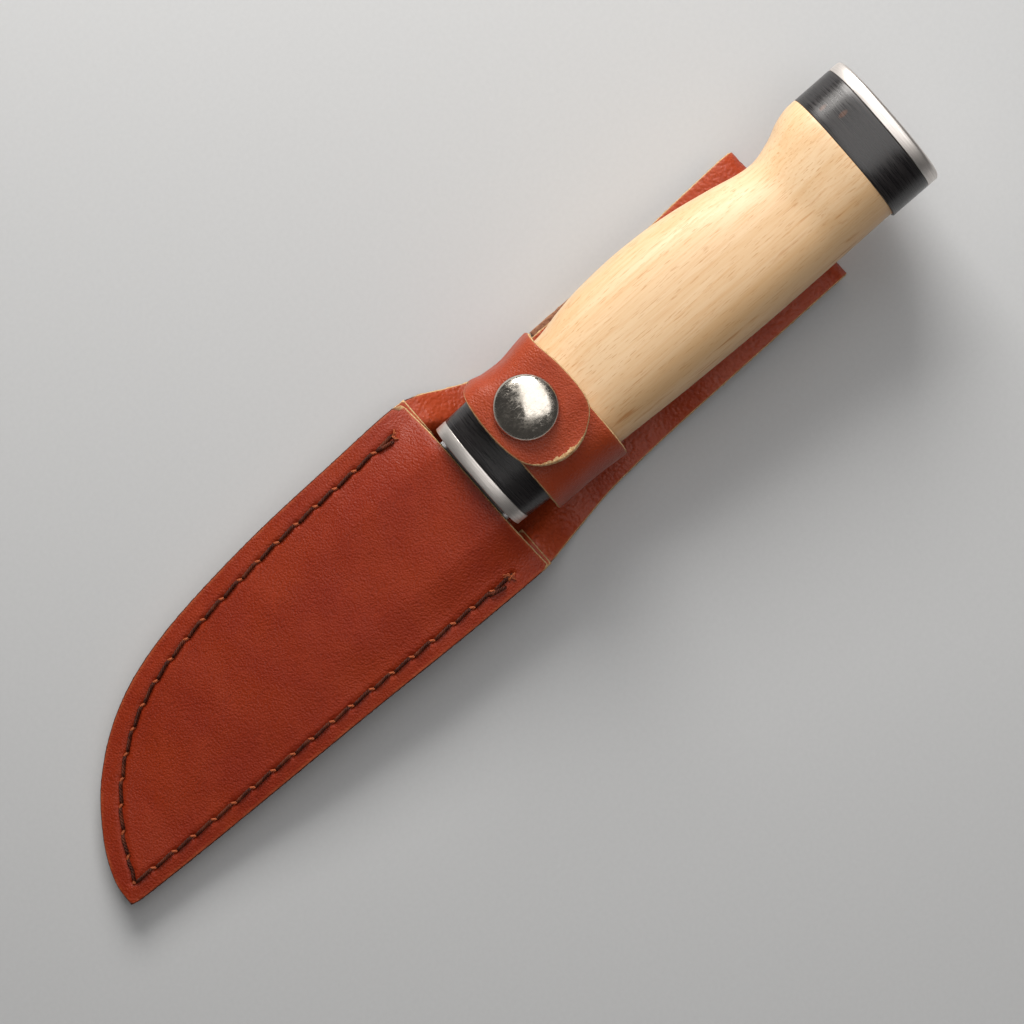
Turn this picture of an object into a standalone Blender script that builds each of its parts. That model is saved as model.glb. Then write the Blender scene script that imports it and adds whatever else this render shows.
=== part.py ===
"""Whittling knife lying in its stitched leather sheath, held by a snapped keeper strap.

The frame is +X along the knife towards its butt, +Y towards the cutting edge and +Z up.
The sheath lies on its belt loop on the plane Z = 0, and its mouth is near X = 0.
Every length below is in millimetres; meshes and places turn into metres as objects are made.
"""

import math

import bpy
import numpy as np
from mathutils import Vector
from mathutils.geometry import delaunay_2d_cdt

MM = 0.001

# Layout
TILT = math.radians(5.8)  # the knife lies with its butt raised
AXIS_HEIGHT = 14.6  # knife's centre line above the table, at the sheath's mouth
KNIFE_Y = 0.9  # knife's centre line from the middle of the whole object
GAP = 0.3  # clearance between neighbouring pieces

# Leather and thread
LEATHER = 1.8
WELT = 1.8
STRAP = 1.5
THREAD_RADIUS = 0.45
CUT_SPACING = 5.0  # distance between points over a panel
EDGE_ROOM = 0.55  # how near its edges a panel's inner points come, as a share of their spacing
MOUTH_SPACING = 2.2
STRAP_SPACING = 2.6

# Sheath outline, in plan, from the tip round each side; y is measured from the knife's centre line
TIP_CORNER = (-126.8, -23.0)
BELLY_EDGE = [
    TIP_CORNER, (-126.0, -16.0), (-121.3, -6.4), (-111.8, 5.0), (-97.5, 14.6), (-78.5, 20.4),
    (-50.0, 23.6), (-22.0, 24.6), (-4.0, 25.0), (2.5, 24.0), (9.0, 21.0), (16.0, 18.1),
    (24.0, 17.0), (37.0, 16.6), (55.0, 17.0), (74.0, 18.2), (93.0, 19.0),
]
SPINE_EDGE = [
    TIP_CORNER, (-122.0, -23.7), (-98.0, -24.6), (-55.0, -25.5), (-27.0, -26.4), (-4.0, -26.8),
    (2.0, -26.4), (13.0, -24.6), (25.0, -22.8), (44.0, -21.8), (68.0, -21.3), (93.0, -20.8),
]
MOUTH_BELLY = (-0.9, 24.9)
MOUTH_SPINE = (0.3, -26.7)
WELT_STEP = 0.8  # the welts reach this far past the front panel's edge
WELT_WIDTH = 10.5
WELT_TIP_X = -115.2  # where the spine welt butts against the belly welt
WELT_TIP_Y = (-24.0, -18.4)
WELT_TIP_ROOM = 1.0
MOUTH_ROOM = 1.5  # an edge's points keep this clear of the mouth's corner
BELLY_SEAM = 5.0  # stitch line from the edge
SPINE_SEAM = 4.1
SEAM_CORNER = (-122.9, -19.4)
SEAM_CORNER_ROOM = 2.0
SEAM_END_X = -7.0
SEAM_SPACING = 3.0

# Heights of the sheath's back: its underside along the centre line, and the lift of its seams.
# The sheath rises with the blade in it, then sags at its mouth to pass under the handle.
FLOOR = [
    (-127.0, 0.0), (-110.0, 0.0), (-80.0, 2.0), (-55.0, 3.8), (-38.0, 4.2), (-22.0, 3.4), (-5.0, 1.3),
    (9.8, 0.2), (31.0, 2.3), (42.0, 2.6), (57.0, 6.05), (70.0, 6.8), (93.0, 7.6),
]
SEAM_LIFT = [
    (-127.0, 1.3), (-110.0, 1.5), (-80.0, 2.1), (-50.0, 2.8), (-25.0, 4.7), (-5.0, 7.2), (0.8, 7.2),
    (9.0, 2.5), (14.0, 0.6), (20.0, 0.0), (93.0, 0.0),
]
SEAM_FLAT = 6.2  # width of the flat seam along the edge
SEAM_ROWS = (SEAM_FLAT, 8.3, WELT_WIDTH, 13.0)
ROW_SLACK = 0.6
SEAM_EASE = 6.8  # width over which the panels ease from the seam to the blade's pocket

# Belt loop
FOLD_X = 93.3
FOLD_SKEW = 0.05
FOLD_SKEW_START = 60.0
FOLD_STEPS = 8
TAIL_START = 6.0  # the tail has its own width this far past the fold
TAIL_END_X = 34.0
TAIL_BELLY_Y = 18.0
TAIL_SPINE_Y = -20.2
SKIVE = 0.5  # the tail thins by this towards its sewn end
SKIVE_START_X = 56.0
LOOP_SEAM_X = 38.5
LOOP_SEAM_HALF = 12.5
LOOP_SEAM_POINTS = 6

# Blade
BLADE_TIP_X = -109.0
BLADE_SHOULDER = 1.0
BLADE_SPINE_Y = -12.2
BLADE_THICKNESS = 3.0
BLADE_ROOM = 0.6  # between the blade and the front panel
BLADE_EDGE = [
    (-109.0, -11.8), (-106.0, -7.6), (-100.0, -2.4), (-90.0, 3.2), (-75.0, 7.8),
    (-55.0, 10.5), (-30.0, 11.3), (1.0, 11.4),
]
BLADE_TAPER = [(-109.0, 0.5), (-85.0, 0.8), (1.0, 1.0)]
RICASSO = 4.0
RICASSO_EASE = 3.0
BLADE_STATIONS = 22
GRIND_LINE = 0.45  # where the bevels start, as a share of the blade's width from its spine
SPINE_LINE = 0.04
SPINE_LIP = 0.75
EDGE_HALF = 0.12
TANG_HEIGHT = 8.4
TANG_CORNER = 0.5
TANG_ROOM = 0.4
TANG_END = 105.0
ROD_START = 107.5
ROD_BORE_START = 103.0
ROD_RADIUS = 2.5
ROD_END = 125.4
ROD_SIDES = 8

# Handle: stations along the knife and its half sizes there
BOLSTER_SPAN = (1.3, 4.15)
FRONT_SPACER_SPAN = (4.45, 14.35)
HANDLE_SPAN = (14.65, 112.6)
REAR_SPACER_SPAN = (112.9, 122.8)
BUTT_CAP_SPAN = (123.1, 126.2)
HANDLE_BELLY = [
    (1.3, 14.5), (4.3, 14.6), (11.0, 14.8), (32.0, 15.0), (41.0, 16.6), (48.0, 17.5), (58.0, 17.9),
    (66.0, 17.6), (75.0, 16.6), (84.0, 14.95), (95.8, 12.8), (102.0, 14.3), (107.0, 16.5),
    (111.0, 17.3), (126.2, 17.3),
]
HANDLE_SPINE = [
    (1.3, 14.6), (11.0, 15.0), (32.0, 15.8), (54.0, 16.7), (77.0, 17.1), (99.0, 16.9),
    (112.6, 16.7), (112.9, 17.4), (126.2, 17.4),
]
HANDLE_THICK = [
    (1.3, 9.4), (11.0, 9.9), (31.0, 11.0), (45.0, 11.9), (60.0, 12.2), (75.0, 12.0),
    (95.8, 11.3), (104.0, 12.3), (112.6, 13.1), (126.2, 13.3),
]
SECTION_POWER = 2.4
SECTION_SIDES = 36
HANDLE_STEP = 6.0
JOINT_BEVEL = 0.1
PLATE_BEVEL = 0.5
BUTT_BEVEL = 0.7
HOLE_SIDES = 24
CUT_PAST = 1.0  # cutters run this far past what they cut
NUT_RADIUS = 5.0
NUT_DEPTH = 1.5
NUT_SLOT = 1.2
NUT_SLOT_DEPTH = 0.6

# Keeper strap: centre lines across the knife at STRAP_X, y and height from the knife's centre line
STRAP_X = 21.1
STRAP_WIDTH = 20.4
WRAP_LINE = [
    (15.7, 8.6), (16.35, 4.0), (16.3, -2.0), (15.0, -7.6), (10.5, -11.6), (4.0, -12.3), (-4.0, -12.3),
    (-11.0, -11.6), (-16.0, -7.4), (-17.3, -1.0), (-16.9, 4.0), (-14.6, 8.4), (-10.5, 11.0),
    (-4.0, 12.25), (0.0, 12.35), (4.1, 12.35), (9.0, 12.1), (11.0, 11.8),
]
FLAP_LINE = [
    (15.6, 9.0), (15.4, 12.5), (13.9, 16.3), (10.6, 18.0), (4.1, 18.15), (-2.0, 18.1),
    (-6.5, 17.4), (-9.0, 17.2), (-11.0, 17.8),
]
FLAP_LEFT = [(-7.6, 0.0), (-9.4, 5.0), (-11.0, 11.0), (-11.5, 18.0), (-10.8, 24.5), (-9.2, 28.5)]
FLAP_TIP = [(-6.2, 31.2), (-2.0, 32.8), (2.2, 32.6), (6.0, 30.8)]
FLAP_RIGHT = [(9.4, 27.8), (10.8, 23.5), (10.8, 16.0), (9.9, 9.0), (10.6, 0.0)]
HINGE_Y = 16.35
HINGE_HEIGHT = 8.85

# Snap fastener, along its own axis from the knife's centre line upwards
SNAP_X = 21.8
SNAP_Y = 4.1
SNAP_HOLE = 2.1
CAP_RADIUS = 7.55
EYELET_PROFILE = [(0.0, 11.0), (4.4, 11.0), (4.4, 11.3), (1.7, 11.35), (1.7, 15.2), (0.0, 15.2)]
STUD_PROFILE = [
    (2.05, 13.4), (5.4, 13.4), (5.4, 13.85), (3.1, 13.9), (2.5, 14.5), (2.8, 15.5), (2.3, 15.95),
    (0.0, 16.0), (0.0, 15.55), (2.05, 15.5),
]
SOCKET_PROFILE = [
    (3.65, 14.25), (5.7, 14.25), (6.1, 14.7), (6.1, 16.5), (5.6, 17.0), (2.1, 17.05),
    (2.1, 16.65), (3.65, 16.5),
]
CAP_PROFILE = [
    (0.0, 16.4), (1.75, 16.4), (1.75, 19.45), (7.2, 19.45), (CAP_RADIUS, 19.85), (7.35, 20.4),
    (6.2, 21.2), (4.2, 21.95), (2.0, 22.35), (0.0, 22.45),
]
TURN_SIDES = 24

SNAP_HOLE_SIDES = 12
STRAP_COLUMNS = 7
STRAP_SEAM_X = (23.5, 29.5)
STRAP_SEAM_HALF = 8.0

COLOURS = {
    "leather": ((0.23, 0.045, 0.018), 0.45, 0.0),
    "thread": ((0.05, 0.012, 0.006), 0.7, 0.0),
    "wood": ((0.76, 0.52, 0.27), 0.45, 0.0),
    "ebony": ((0.018, 0.017, 0.019), 0.4, 0.0),
    "steel": ((0.55, 0.53, 0.51), 0.3, 1.0),
    "nickel": ((0.68, 0.64, 0.58), 0.15, 1.0),
}


def smooth(t):
    """Ease from 0 to 1."""
    t = min(max(t, 0.0), 1.0)
    return t * t * (3.0 - 2.0 * t)


def profile(points):
    """A function through (station, value) points that never overshoots them."""
    xs, ys = np.array(points, dtype=float).T
    steps = np.diff(ys) / np.diff(xs)
    slopes = np.zeros(len(xs))
    for i in range(1, len(xs) - 1):
        if steps[i - 1] * steps[i] > 0:
            slopes[i] = 2 * steps[i - 1] * steps[i] / (steps[i - 1] + steps[i])

    def value(x):
        x = min(max(x, xs[0]), xs[-1])
        i = min(int(np.searchsorted(xs, x, side="right")) - 1, len(xs) - 2)
        width = xs[i + 1] - xs[i]
        t = (x - xs[i]) / width
        ease = t * t * (3 - 2 * t)
        enter = t * (1 - t) ** 2
        leave = t * t * (t - 1)
        return ys[i] * (1 - ease) + ys[i + 1] * ease + width * (slopes[i] * enter + slopes[i + 1] * leave)

    return value


def spline(points, spacing):
    """Points about spacing apart on a smooth curve through the given ones."""
    pts = np.array(points, dtype=float)
    pts = np.vstack([2 * pts[0] - pts[1], pts, 2 * pts[-1] - pts[-2]])
    fine = []
    for a, b, c, d in zip(pts, pts[1:], pts[2:], pts[3:]):
        for t in np.linspace(0.0, 1.0, 16, endpoint=False):
            pull = 2 * b + (c - a) * t + (2 * a - 5 * b + 4 * c - d) * t**2 + (3 * b - a - 3 * c + d) * t**3
            fine.append(pull / 2)
    fine = np.array(fine + [pts[-2]])
    run = np.concatenate([[0.0], np.cumsum(np.linalg.norm(np.diff(fine, axis=0), axis=1))])
    stops = np.linspace(0.0, run[-1], max(2, round(run[-1] / spacing) + 1))
    return np.column_stack([np.interp(stops, run, fine[:, k]) for k in range(fine.shape[1])])


floor_height = profile(FLOOR)
seam_lift = profile(SEAM_LIFT)
blade_edge = profile(BLADE_EDGE)
blade_taper = profile(BLADE_TAPER)
handle_belly = profile(HANDLE_BELLY)
handle_spine = profile(HANDLE_SPINE)
handle_thick = profile(HANDLE_THICK)
BELLY_CURVE = spline(BELLY_EDGE, CUT_SPACING)
SPINE_CURVE = spline(SPINE_EDGE, CUT_SPACING)


def distance_to(curve, x, y):
    """Shortest distance in plan from a point to a curve."""
    a, b = curve[:-1], curve[1:]
    along = b - a
    t = ((x - a[:, 0]) * along[:, 0] + (y - a[:, 1]) * along[:, 1]) / (along**2).sum(axis=1)
    near = a + along * np.clip(t, 0.0, 1.0)[:, None]
    return float(np.hypot(near[:, 0] - x, near[:, 1] - y).min())


def edge_distance(x, y):
    return min(distance_to(BELLY_CURVE, x, y), distance_to(SPINE_CURVE, x, y))


def knife_height(x):
    return AXIS_HEIGHT + x * math.tan(TILT)


def back_underside(x, y):
    """Height of the back panel's lower face, before the fold."""
    ease = smooth((edge_distance(x, y) - SEAM_FLAT) / SEAM_EASE)
    return floor_height(x) + seam_lift(x) * (1.0 - ease)


def front_underside(x, y):
    """Height of the front panel's lower face: on the welts at the seams, over the blade between them."""
    over_welt = back_underside(x, y) + LEATHER + WELT + 2 * GAP
    over_blade = max(over_welt, knife_height(x) + BLADE_THICKNESS / 2 + BLADE_ROOM)
    rise = smooth((edge_distance(x, y) - SEAM_FLAT) / SEAM_EASE)
    return over_welt + (over_blade - over_welt) * rise


def make_material(name):
    colour, roughness, metallic = COLOURS[name]
    material = bpy.data.materials.new(name)
    material.use_nodes = True
    shader = material.node_tree.nodes["Principled BSDF"]
    shader.inputs["Base Color"].default_value = (*colour, 1.0)
    shader.inputs["Roughness"].default_value = roughness
    shader.inputs["Metallic"].default_value = metallic
    return material


def make_empty(name, place, tilt, parent):
    empty = bpy.data.objects.new(name, None)
    empty.location = Vector(place) * MM
    empty.rotation_euler = (0.0, -tilt, 0.0)
    empty.parent = parent
    bpy.context.scene.collection.objects.link(empty)
    return empty


def make_object(name, verts, faces, material, parent):
    mesh = bpy.data.meshes.new(name)
    mesh.from_pydata([Vector(v) * MM for v in verts], [], faces)
    mesh.materials.append(MATERIALS[material])
    mesh.shade_smooth()
    mesh.set_sharp_from_angle(angle=math.radians(35.0))
    piece = bpy.data.objects.new(name, mesh)
    piece.parent = parent
    bpy.context.scene.collection.objects.link(piece)
    return piece


def inside(outline, x, y):
    """Whether a point lies within a closed outline."""
    hit = False
    for (x0, y0), (x1, y1) in zip(outline, np.roll(outline, -1, axis=0)):
        if (y0 > y) != (y1 > y) and x < x0 + (x1 - x0) * (y - y0) / (y1 - y0):
            hit = not hit
    return hit


def grid_points(outlines, spacing):
    """Points spread over a cut, clear of its outlines."""
    closed = [np.vstack([ring, ring[:1]]) for ring in outlines]
    low, high = outlines[0].min(axis=0), outlines[0].max(axis=0)
    spread = []
    for x in np.arange(low[0] + spacing / 2, high[0], spacing):
        for y in np.arange(low[1] + spacing / 2, high[1], spacing):
            clear = all(distance_to(ring, x, y) > EDGE_ROOM * spacing for ring in closed)
            if clear and inside(outlines[0], x, y):
                spread.append((x, y))
    return spread


def leather(name, outlines, inner, place, parent):
    """A leather piece cut to flat outlines, the first outside and any other a hole.

    Between its faces, place(x, y, side) gives a point of face 0 or 1; inner points let it bend.
    """
    edges = []
    for ring in outlines:
        first = len(edges)
        edges += [(first + i, first + (i + 1) % len(ring)) for i in range(len(ring))]
    points = [Vector(p) for p in np.vstack([*outlines, *inner])]
    flat, _, triangles, _, _, _ = delaunay_2d_cdt(points, edges, [], 0, 1e-5)
    kept = []
    for tri in triangles:
        x, y = np.mean([flat[i] for i in tri], axis=0)
        if inside(outlines[0], x, y) and not any(inside(hole, x, y) for hole in outlines[1:]):
            kept.append(tuple(tri))
    count = len(flat)
    verts = [place(p[0], p[1], side) for side in (0, 1) for p in flat]
    faces = [(a, c, b) for a, b, c in kept] + [(a + count, b + count, c + count) for a, b, c in kept]
    directed = {(tri[k], tri[(k + 1) % 3]) for tri in kept for k in range(3)}
    for a, b in sorted(directed):
        if (b, a) not in directed:
            faces.append((a, b, b + count, a + count))
    return make_object(name, verts, faces, "leather", parent)


def loft(name, rings, material, parent):
    """A closed body through rings of equally many points, anticlockwise seen from +X."""
    size = len(rings[0])
    verts = [p for ring in rings for p in ring]
    faces = [tuple(reversed(range(size)))]
    for r in range(len(rings) - 1):
        for i in range(size):
            j = (i + 1) % size
            faces.append((r * size + i, r * size + j, (r + 1) * size + j, (r + 1) * size + i))
    faces.append(tuple((len(rings) - 1) * size + i for i in range(size)))
    return make_object(name, verts, faces, material, parent)


def turned(name, outline, material, parent, centre):
    """A turned piece from (radius, height) points, listed anticlockwise with the axis on the left."""
    verts, rings = [], []
    for radius, height in outline:
        if radius == 0.0:
            rings.append([len(verts)] * TURN_SIDES)
            verts.append((centre[0], centre[1], height))
            continue
        rings.append([len(verts) + i for i in range(TURN_SIDES)])
        for i in range(TURN_SIDES):
            angle = 2 * math.pi * i / TURN_SIDES
            verts.append((centre[0] + radius * math.cos(angle), centre[1] + radius * math.sin(angle), height))
    faces = []
    for lower, upper in zip(rings, rings[1:] + rings[:1]):
        for i in range(TURN_SIDES):
            j = (i + 1) % TURN_SIDES
            corners = list(dict.fromkeys((lower[i], lower[j], upper[j], upper[i])))
            if len(corners) > 2:
                faces.append(tuple(corners))
    return make_object(name, verts, faces, material, parent)


def thread(name, points, parent, closed=False):
    """A round thread through points."""
    curve = bpy.data.curves.new(name, "CURVE")
    curve.dimensions = "3D"
    curve.bevel_depth = THREAD_RADIUS * MM
    curve.bevel_resolution = 1
    curve.use_fill_caps = not closed
    curve.render_resolution_u = 0
    run = curve.splines.new("POLY")
    run.points.add(len(points) - 1)
    run.use_cyclic_u = closed
    for knot, point in zip(run.points, points):
        knot.co = (*(Vector(point) * MM), 1.0)
    curve.materials.append(MATERIALS["thread"])
    piece = bpy.data.objects.new(name, curve)
    piece.parent = parent
    bpy.context.scene.collection.objects.link(piece)
    return piece


def subtract(piece, cutter):
    """Cuts a cutter's shape out of a piece."""
    cutter.hide_render = True
    cutter.display_type = "WIRE"
    boolean = piece.modifiers.new(cutter.name, "BOOLEAN")
    boolean.operation = "DIFFERENCE"
    boolean.solver = "EXACT"
    boolean.object = cutter


def cut_box(piece, name, low, high):
    """Cuts a box from low to high, in the piece's own millimetres, out of a piece."""
    corners = [(x, y, z) for x in (low[0], high[0]) for y in (low[1], high[1]) for z in (low[2], high[2])]
    faces = [(0, 1, 3, 2), (4, 6, 7, 5), (0, 4, 5, 1), (2, 3, 7, 6), (0, 2, 6, 4), (1, 5, 7, 3)]
    subtract(piece, make_object(name, corners, faces, "steel", piece.parent))


def circle(radius, sides):
    angles = [2 * math.pi * i / sides for i in range(sides)]
    return [(radius * math.cos(a), radius * math.sin(a)) for a in angles]


def cut_bore(piece, name, radius, first, last):
    """Cuts a round hole along the knife's centre line."""
    rings = [[(station, y, z) for y, z in circle(radius, HOLE_SIDES)] for station in (first, last)]
    subtract(piece, loft(name, rings, "steel", piece.parent))


# ---------------------------------------------------------------- knife


def section(station, inset=0.0):
    """Outline of the handle across the knife at a station, shrunk by inset."""
    belly = handle_belly(station)
    spine = handle_spine(station)
    half = (belly + spine) / 2 - inset
    thick = handle_thick(station) - inset
    ring = []
    for i in range(SECTION_SIDES):
        angle = 2 * math.pi * i / SECTION_SIDES
        c, s = math.cos(angle), math.sin(angle)
        y = half * math.copysign(abs(c) ** (2 / SECTION_POWER), c)
        z = thick * math.copysign(abs(s) ** (2 / SECTION_POWER), s)
        ring.append((station, (belly - spine) / 2 + y, z))
    return ring


def handle_piece(name, span, start_bevel, end_bevel, material, parent):
    """A length of the handle, its two ends bevelled."""
    first, last = span
    middle = np.linspace(first + start_bevel, last - end_bevel, max(2, round((last - first) / HANDLE_STEP) + 1))
    rings = [section(first, start_bevel)] + [section(s) for s in middle] + [section(last, end_bevel)]
    return loft(name, rings, material, parent)


def blade_section(station):
    """Eight points across the blade: a flat spine, and bevels down to the cutting edge."""
    edge = blade_edge(station)
    half = BLADE_THICKNESS / 2 * blade_taper(station)
    ground = smooth((BLADE_SHOULDER - RICASSO - station) / RICASSO_EASE)
    lip = half + (EDGE_HALF - half) * ground
    grind = BLADE_SPINE_Y + GRIND_LINE * (edge - BLADE_SPINE_Y)
    back = BLADE_SPINE_Y + SPINE_LINE * (edge - BLADE_SPINE_Y)
    upper = [(edge, lip), (grind, half), (back, half), (BLADE_SPINE_Y, SPINE_LIP * half)]
    ring = upper + [(y, -z) for y, z in reversed(upper)]
    return [(station, y, z) for y, z in ring]


def rod_section(station):
    angles = [2 * math.pi * (i + 0.5) / ROD_SIDES for i in range(ROD_SIDES)]
    return [(station, ROD_RADIUS * math.cos(a), ROD_RADIUS * math.sin(a)) for a in angles]


def tang_section(station):
    y, z = TANG_HEIGHT / 2, BLADE_THICKNESS / 2
    upper = [(y, z * TANG_CORNER), (y * TANG_CORNER, z), (-y * TANG_CORNER, z), (-y, z * TANG_CORNER)]
    return [(station, a, b) for a, b in upper + [(p, -q) for p, q in reversed(upper)]]


def make_blade(parent):
    """Blade, tang and threaded end, one forging."""
    stations = [*np.linspace(BLADE_TIP_X, BLADE_SHOULDER - RICASSO, BLADE_STATIONS), BLADE_SHOULDER]
    rings = [blade_section(s) for s in stations]
    rings += [tang_section(BLADE_SHOULDER), tang_section(TANG_END)]
    rings += [rod_section(ROD_START), rod_section(ROD_END)]
    loft("blade", rings, "steel", parent)


def cut_tang_slot(piece, span):
    half = TANG_HEIGHT / 2 + TANG_ROOM
    thick = BLADE_THICKNESS / 2 + TANG_ROOM
    low = (span[0] - CUT_PAST, -half, -thick)
    cut_box(piece, piece.name + "_slot", low, (span[1] + CUT_PAST, half, thick))


def cut_rod_bore(piece, first, last, room):
    """Cuts the bore of the tang's round end."""
    cut_bore(piece, piece.name + "_bore", ROD_RADIUS + room, first, last + CUT_PAST)


def make_handle(parent):
    bolster = handle_piece("front_bolster", BOLSTER_SPAN, PLATE_BEVEL, JOINT_BEVEL, "steel", parent)
    spacer = handle_piece("front_spacer", FRONT_SPACER_SPAN, JOINT_BEVEL, JOINT_BEVEL, "ebony", parent)
    body = handle_piece("handle_body", HANDLE_SPAN, JOINT_BEVEL, JOINT_BEVEL, "wood", parent)
    for piece, span in ((bolster, BOLSTER_SPAN), (spacer, FRONT_SPACER_SPAN), (body, HANDLE_SPAN)):
        cut_tang_slot(piece, span)
    cut_rod_bore(body, ROD_BORE_START, HANDLE_SPAN[1], 2 * GAP)
    rear = handle_piece("rear_spacer", REAR_SPACER_SPAN, JOINT_BEVEL, JOINT_BEVEL, "ebony", parent)
    cut_rod_bore(rear, REAR_SPACER_SPAN[0] - CUT_PAST, REAR_SPACER_SPAN[1], GAP)
    butt = handle_piece("butt_cap", BUTT_CAP_SPAN, JOINT_BEVEL, BUTT_BEVEL, "steel", parent)
    cut_rod_bore(butt, BUTT_CAP_SPAN[0] - CUT_PAST, BUTT_CAP_SPAN[1], GAP)
    recess = BUTT_CAP_SPAN[1] - NUT_DEPTH
    cut_bore(butt, "butt_cap_recess", NUT_RADIUS + GAP, recess - GAP, BUTT_CAP_SPAN[1] + CUT_PAST)
    make_tang_nut(parent, recess)


def make_tang_nut(parent, base):
    """Round slotted nut on the tang's threaded end, sunk in the butt cap."""
    top = base + NUT_DEPTH - JOINT_BEVEL
    rings = [[(station, y, z) for y, z in circle(NUT_RADIUS, HOLE_SIDES)] for station in (base, top)]
    nut = loft("tang_nut", rings, "steel", parent)
    cut_rod_bore(nut, base - CUT_PAST, top, GAP)
    half = NUT_SLOT / 2
    reach = NUT_RADIUS + CUT_PAST
    cut_box(nut, "tang_nut_slot", (top - NUT_SLOT_DEPTH, -reach, -half), (top + CUT_PAST, reach, half))


# ---------------------------------------------------------------- sheath


def offset_inwards(curve, width, sign):
    """A plan curve moved sideways; sign is -1 for the belly side and 1 for the spine side."""
    along = np.gradient(curve, axis=0)
    along /= np.linalg.norm(along, axis=1)[:, None]
    normal = np.column_stack([-along[:, 1], along[:, 0]])
    return curve + sign * width * normal


def up_to(curve, end):
    """The part of an edge curve before the mouth, closed with the mouth's own corner."""
    kept = curve[curve[:, 0] < end[0] - MOUTH_ROOM]
    return np.vstack([kept, [end]])


def panel_points(outline):
    """Inner points of a sheath panel: rows along the seam where it starts to bend, and a grid between."""
    closed = np.vstack([outline, outline[:1]])
    kept = []
    for width in SEAM_ROWS:
        for x, y in [*offset_inwards(BELLY_CURVE, width, -1), *offset_inwards(SPINE_CURVE, width, 1)]:
            on_row = abs(edge_distance(x, y) - width) < ROW_SLACK
            if on_row and inside(outline, x, y) and distance_to(closed, x, y) > ROW_SLACK:
                kept.append((x, y))
    grid = grid_points([outline], CUT_SPACING)
    middle = [(x, y) for x, y in grid if edge_distance(x, y) > SEAM_ROWS[-1] + CUT_SPACING / 2]
    return kept + middle


def make_front_panel(parent):
    belly = up_to(BELLY_CURVE, MOUTH_BELLY)
    spine = up_to(SPINE_CURVE, MOUTH_SPINE)
    mouth = spline([MOUTH_BELLY, (-0.3, 12.0), (-0.2, -12.0), MOUTH_SPINE], MOUTH_SPACING)[1:-1]
    outline = np.vstack([belly[::-1], spine[1:], mouth[::-1]])

    def place(x, y, side):
        return (x, y, front_underside(x, y) + LEATHER * side)

    leather("front_panel", [outline], panel_points(outline), place, parent)


def make_welts(parent):
    """The two spacer strips that keep the cutting edge off the stitches."""

    def end_points(corner, sign):
        return [(corner[0], corner[1] + sign * width) for width in SEAM_ROWS[:2]]

    def place(x, y, side):
        return (x, y, back_underside(x, y) + LEATHER + GAP + WELT * side)

    belly = up_to(BELLY_CURVE, (MOUTH_BELLY[0] + WELT_STEP, MOUTH_BELLY[1]))
    inner = offset_inwards(belly, WELT_WIDTH, -1)
    inner = inner[inner[:, 0] > WELT_TIP_X]
    inner[-1, 0] = belly[-1, 0]
    spine = SPINE_CURVE[SPINE_CURVE[:, 0] < WELT_TIP_X - GAP]
    tip_end = [(WELT_TIP_X - GAP, y) for y in WELT_TIP_Y]
    outline = np.vstack([belly[::-1], spine[1:], tip_end, inner, end_points(belly[-1], -1)[::-1]])
    leather("welt_belly", [outline], panel_points(outline), place, parent)

    spine = up_to(SPINE_CURVE, (MOUTH_SPINE[0] + WELT_STEP, MOUTH_SPINE[1]))
    inner = offset_inwards(spine, WELT_WIDTH, 1)
    inner = inner[inner[:, 0] > WELT_TIP_X + CUT_SPACING]
    inner[-1, 0] = spine[-1, 0]
    spine = spine[spine[:, 0] > WELT_TIP_X + WELT_TIP_ROOM]
    tip_end = [(WELT_TIP_X, y) for y in reversed(WELT_TIP_Y)]
    outline = np.vstack([spine, end_points(spine[-1], 1), inner[::-1], tip_end])
    leather("welt_spine", [outline], panel_points(outline), place, parent)


def make_back_panel(parent):
    """The long back piece, folded over at its top end and brought back down as the belt loop."""
    middle = floor_height(FOLD_X) + LEATHER / 2
    radius = (middle - LEATHER / 2) / 2
    centre = middle - radius
    fold_end = FOLD_X + math.pi * radius
    cut_end = fold_end + FOLD_X - TAIL_END_X

    def place(x, y, side):
        skew = FOLD_SKEW * y * smooth((x - FOLD_SKEW_START) / (FOLD_X - FOLD_SKEW_START))
        if x <= FOLD_X:
            return (x - skew, y, back_underside(x, y) + LEATHER * side)
        if x >= fold_end:
            along = FOLD_X - (x - fold_end)
            thickness = LEATHER - SKIVE * smooth((SKIVE_START_X - along) / (SKIVE_START_X - TAIL_END_X))
            return (along - skew, y, thickness * (1 - side))
        turn = (x - FOLD_X) / radius
        reach = radius + LEATHER * (side - 0.5)
        return (FOLD_X + reach * math.sin(turn) - skew, y, centre + reach * math.cos(turn))

    fold = np.linspace(FOLD_X, fold_end, FOLD_STEPS + 1)
    belly_fold = [(x, BELLY_EDGE[-1][1]) for x in fold]
    spine_fold = [(x, SPINE_EDGE[-1][1]) for x in fold]
    belly_tail = spline([(fold_end + TAIL_START, TAIL_BELLY_Y), (cut_end, TAIL_BELLY_Y)], CUT_SPACING)
    spine_tail = spline([(fold_end + TAIL_START, TAIL_SPINE_Y), (cut_end, TAIL_SPINE_Y)], CUT_SPACING)
    end = spline([(cut_end, TAIL_BELLY_Y), (cut_end, TAIL_SPINE_Y)], CUT_SPACING)[1:-1]
    belly = np.vstack([BELLY_CURVE, belly_fold, belly_tail])
    spine = np.vstack([SPINE_CURVE[1:], spine_fold, spine_tail])
    outline = np.vstack([spine, end[::-1], belly[::-1]])
    tail = [p for p in grid_points([outline], CUT_SPACING) if p[0] > FOLD_X - CUT_SPACING]
    body = [p for p in panel_points(outline) if p[0] <= FOLD_X - CUT_SPACING]
    leather("back_panel", [outline], body + tail, place, parent)


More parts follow.
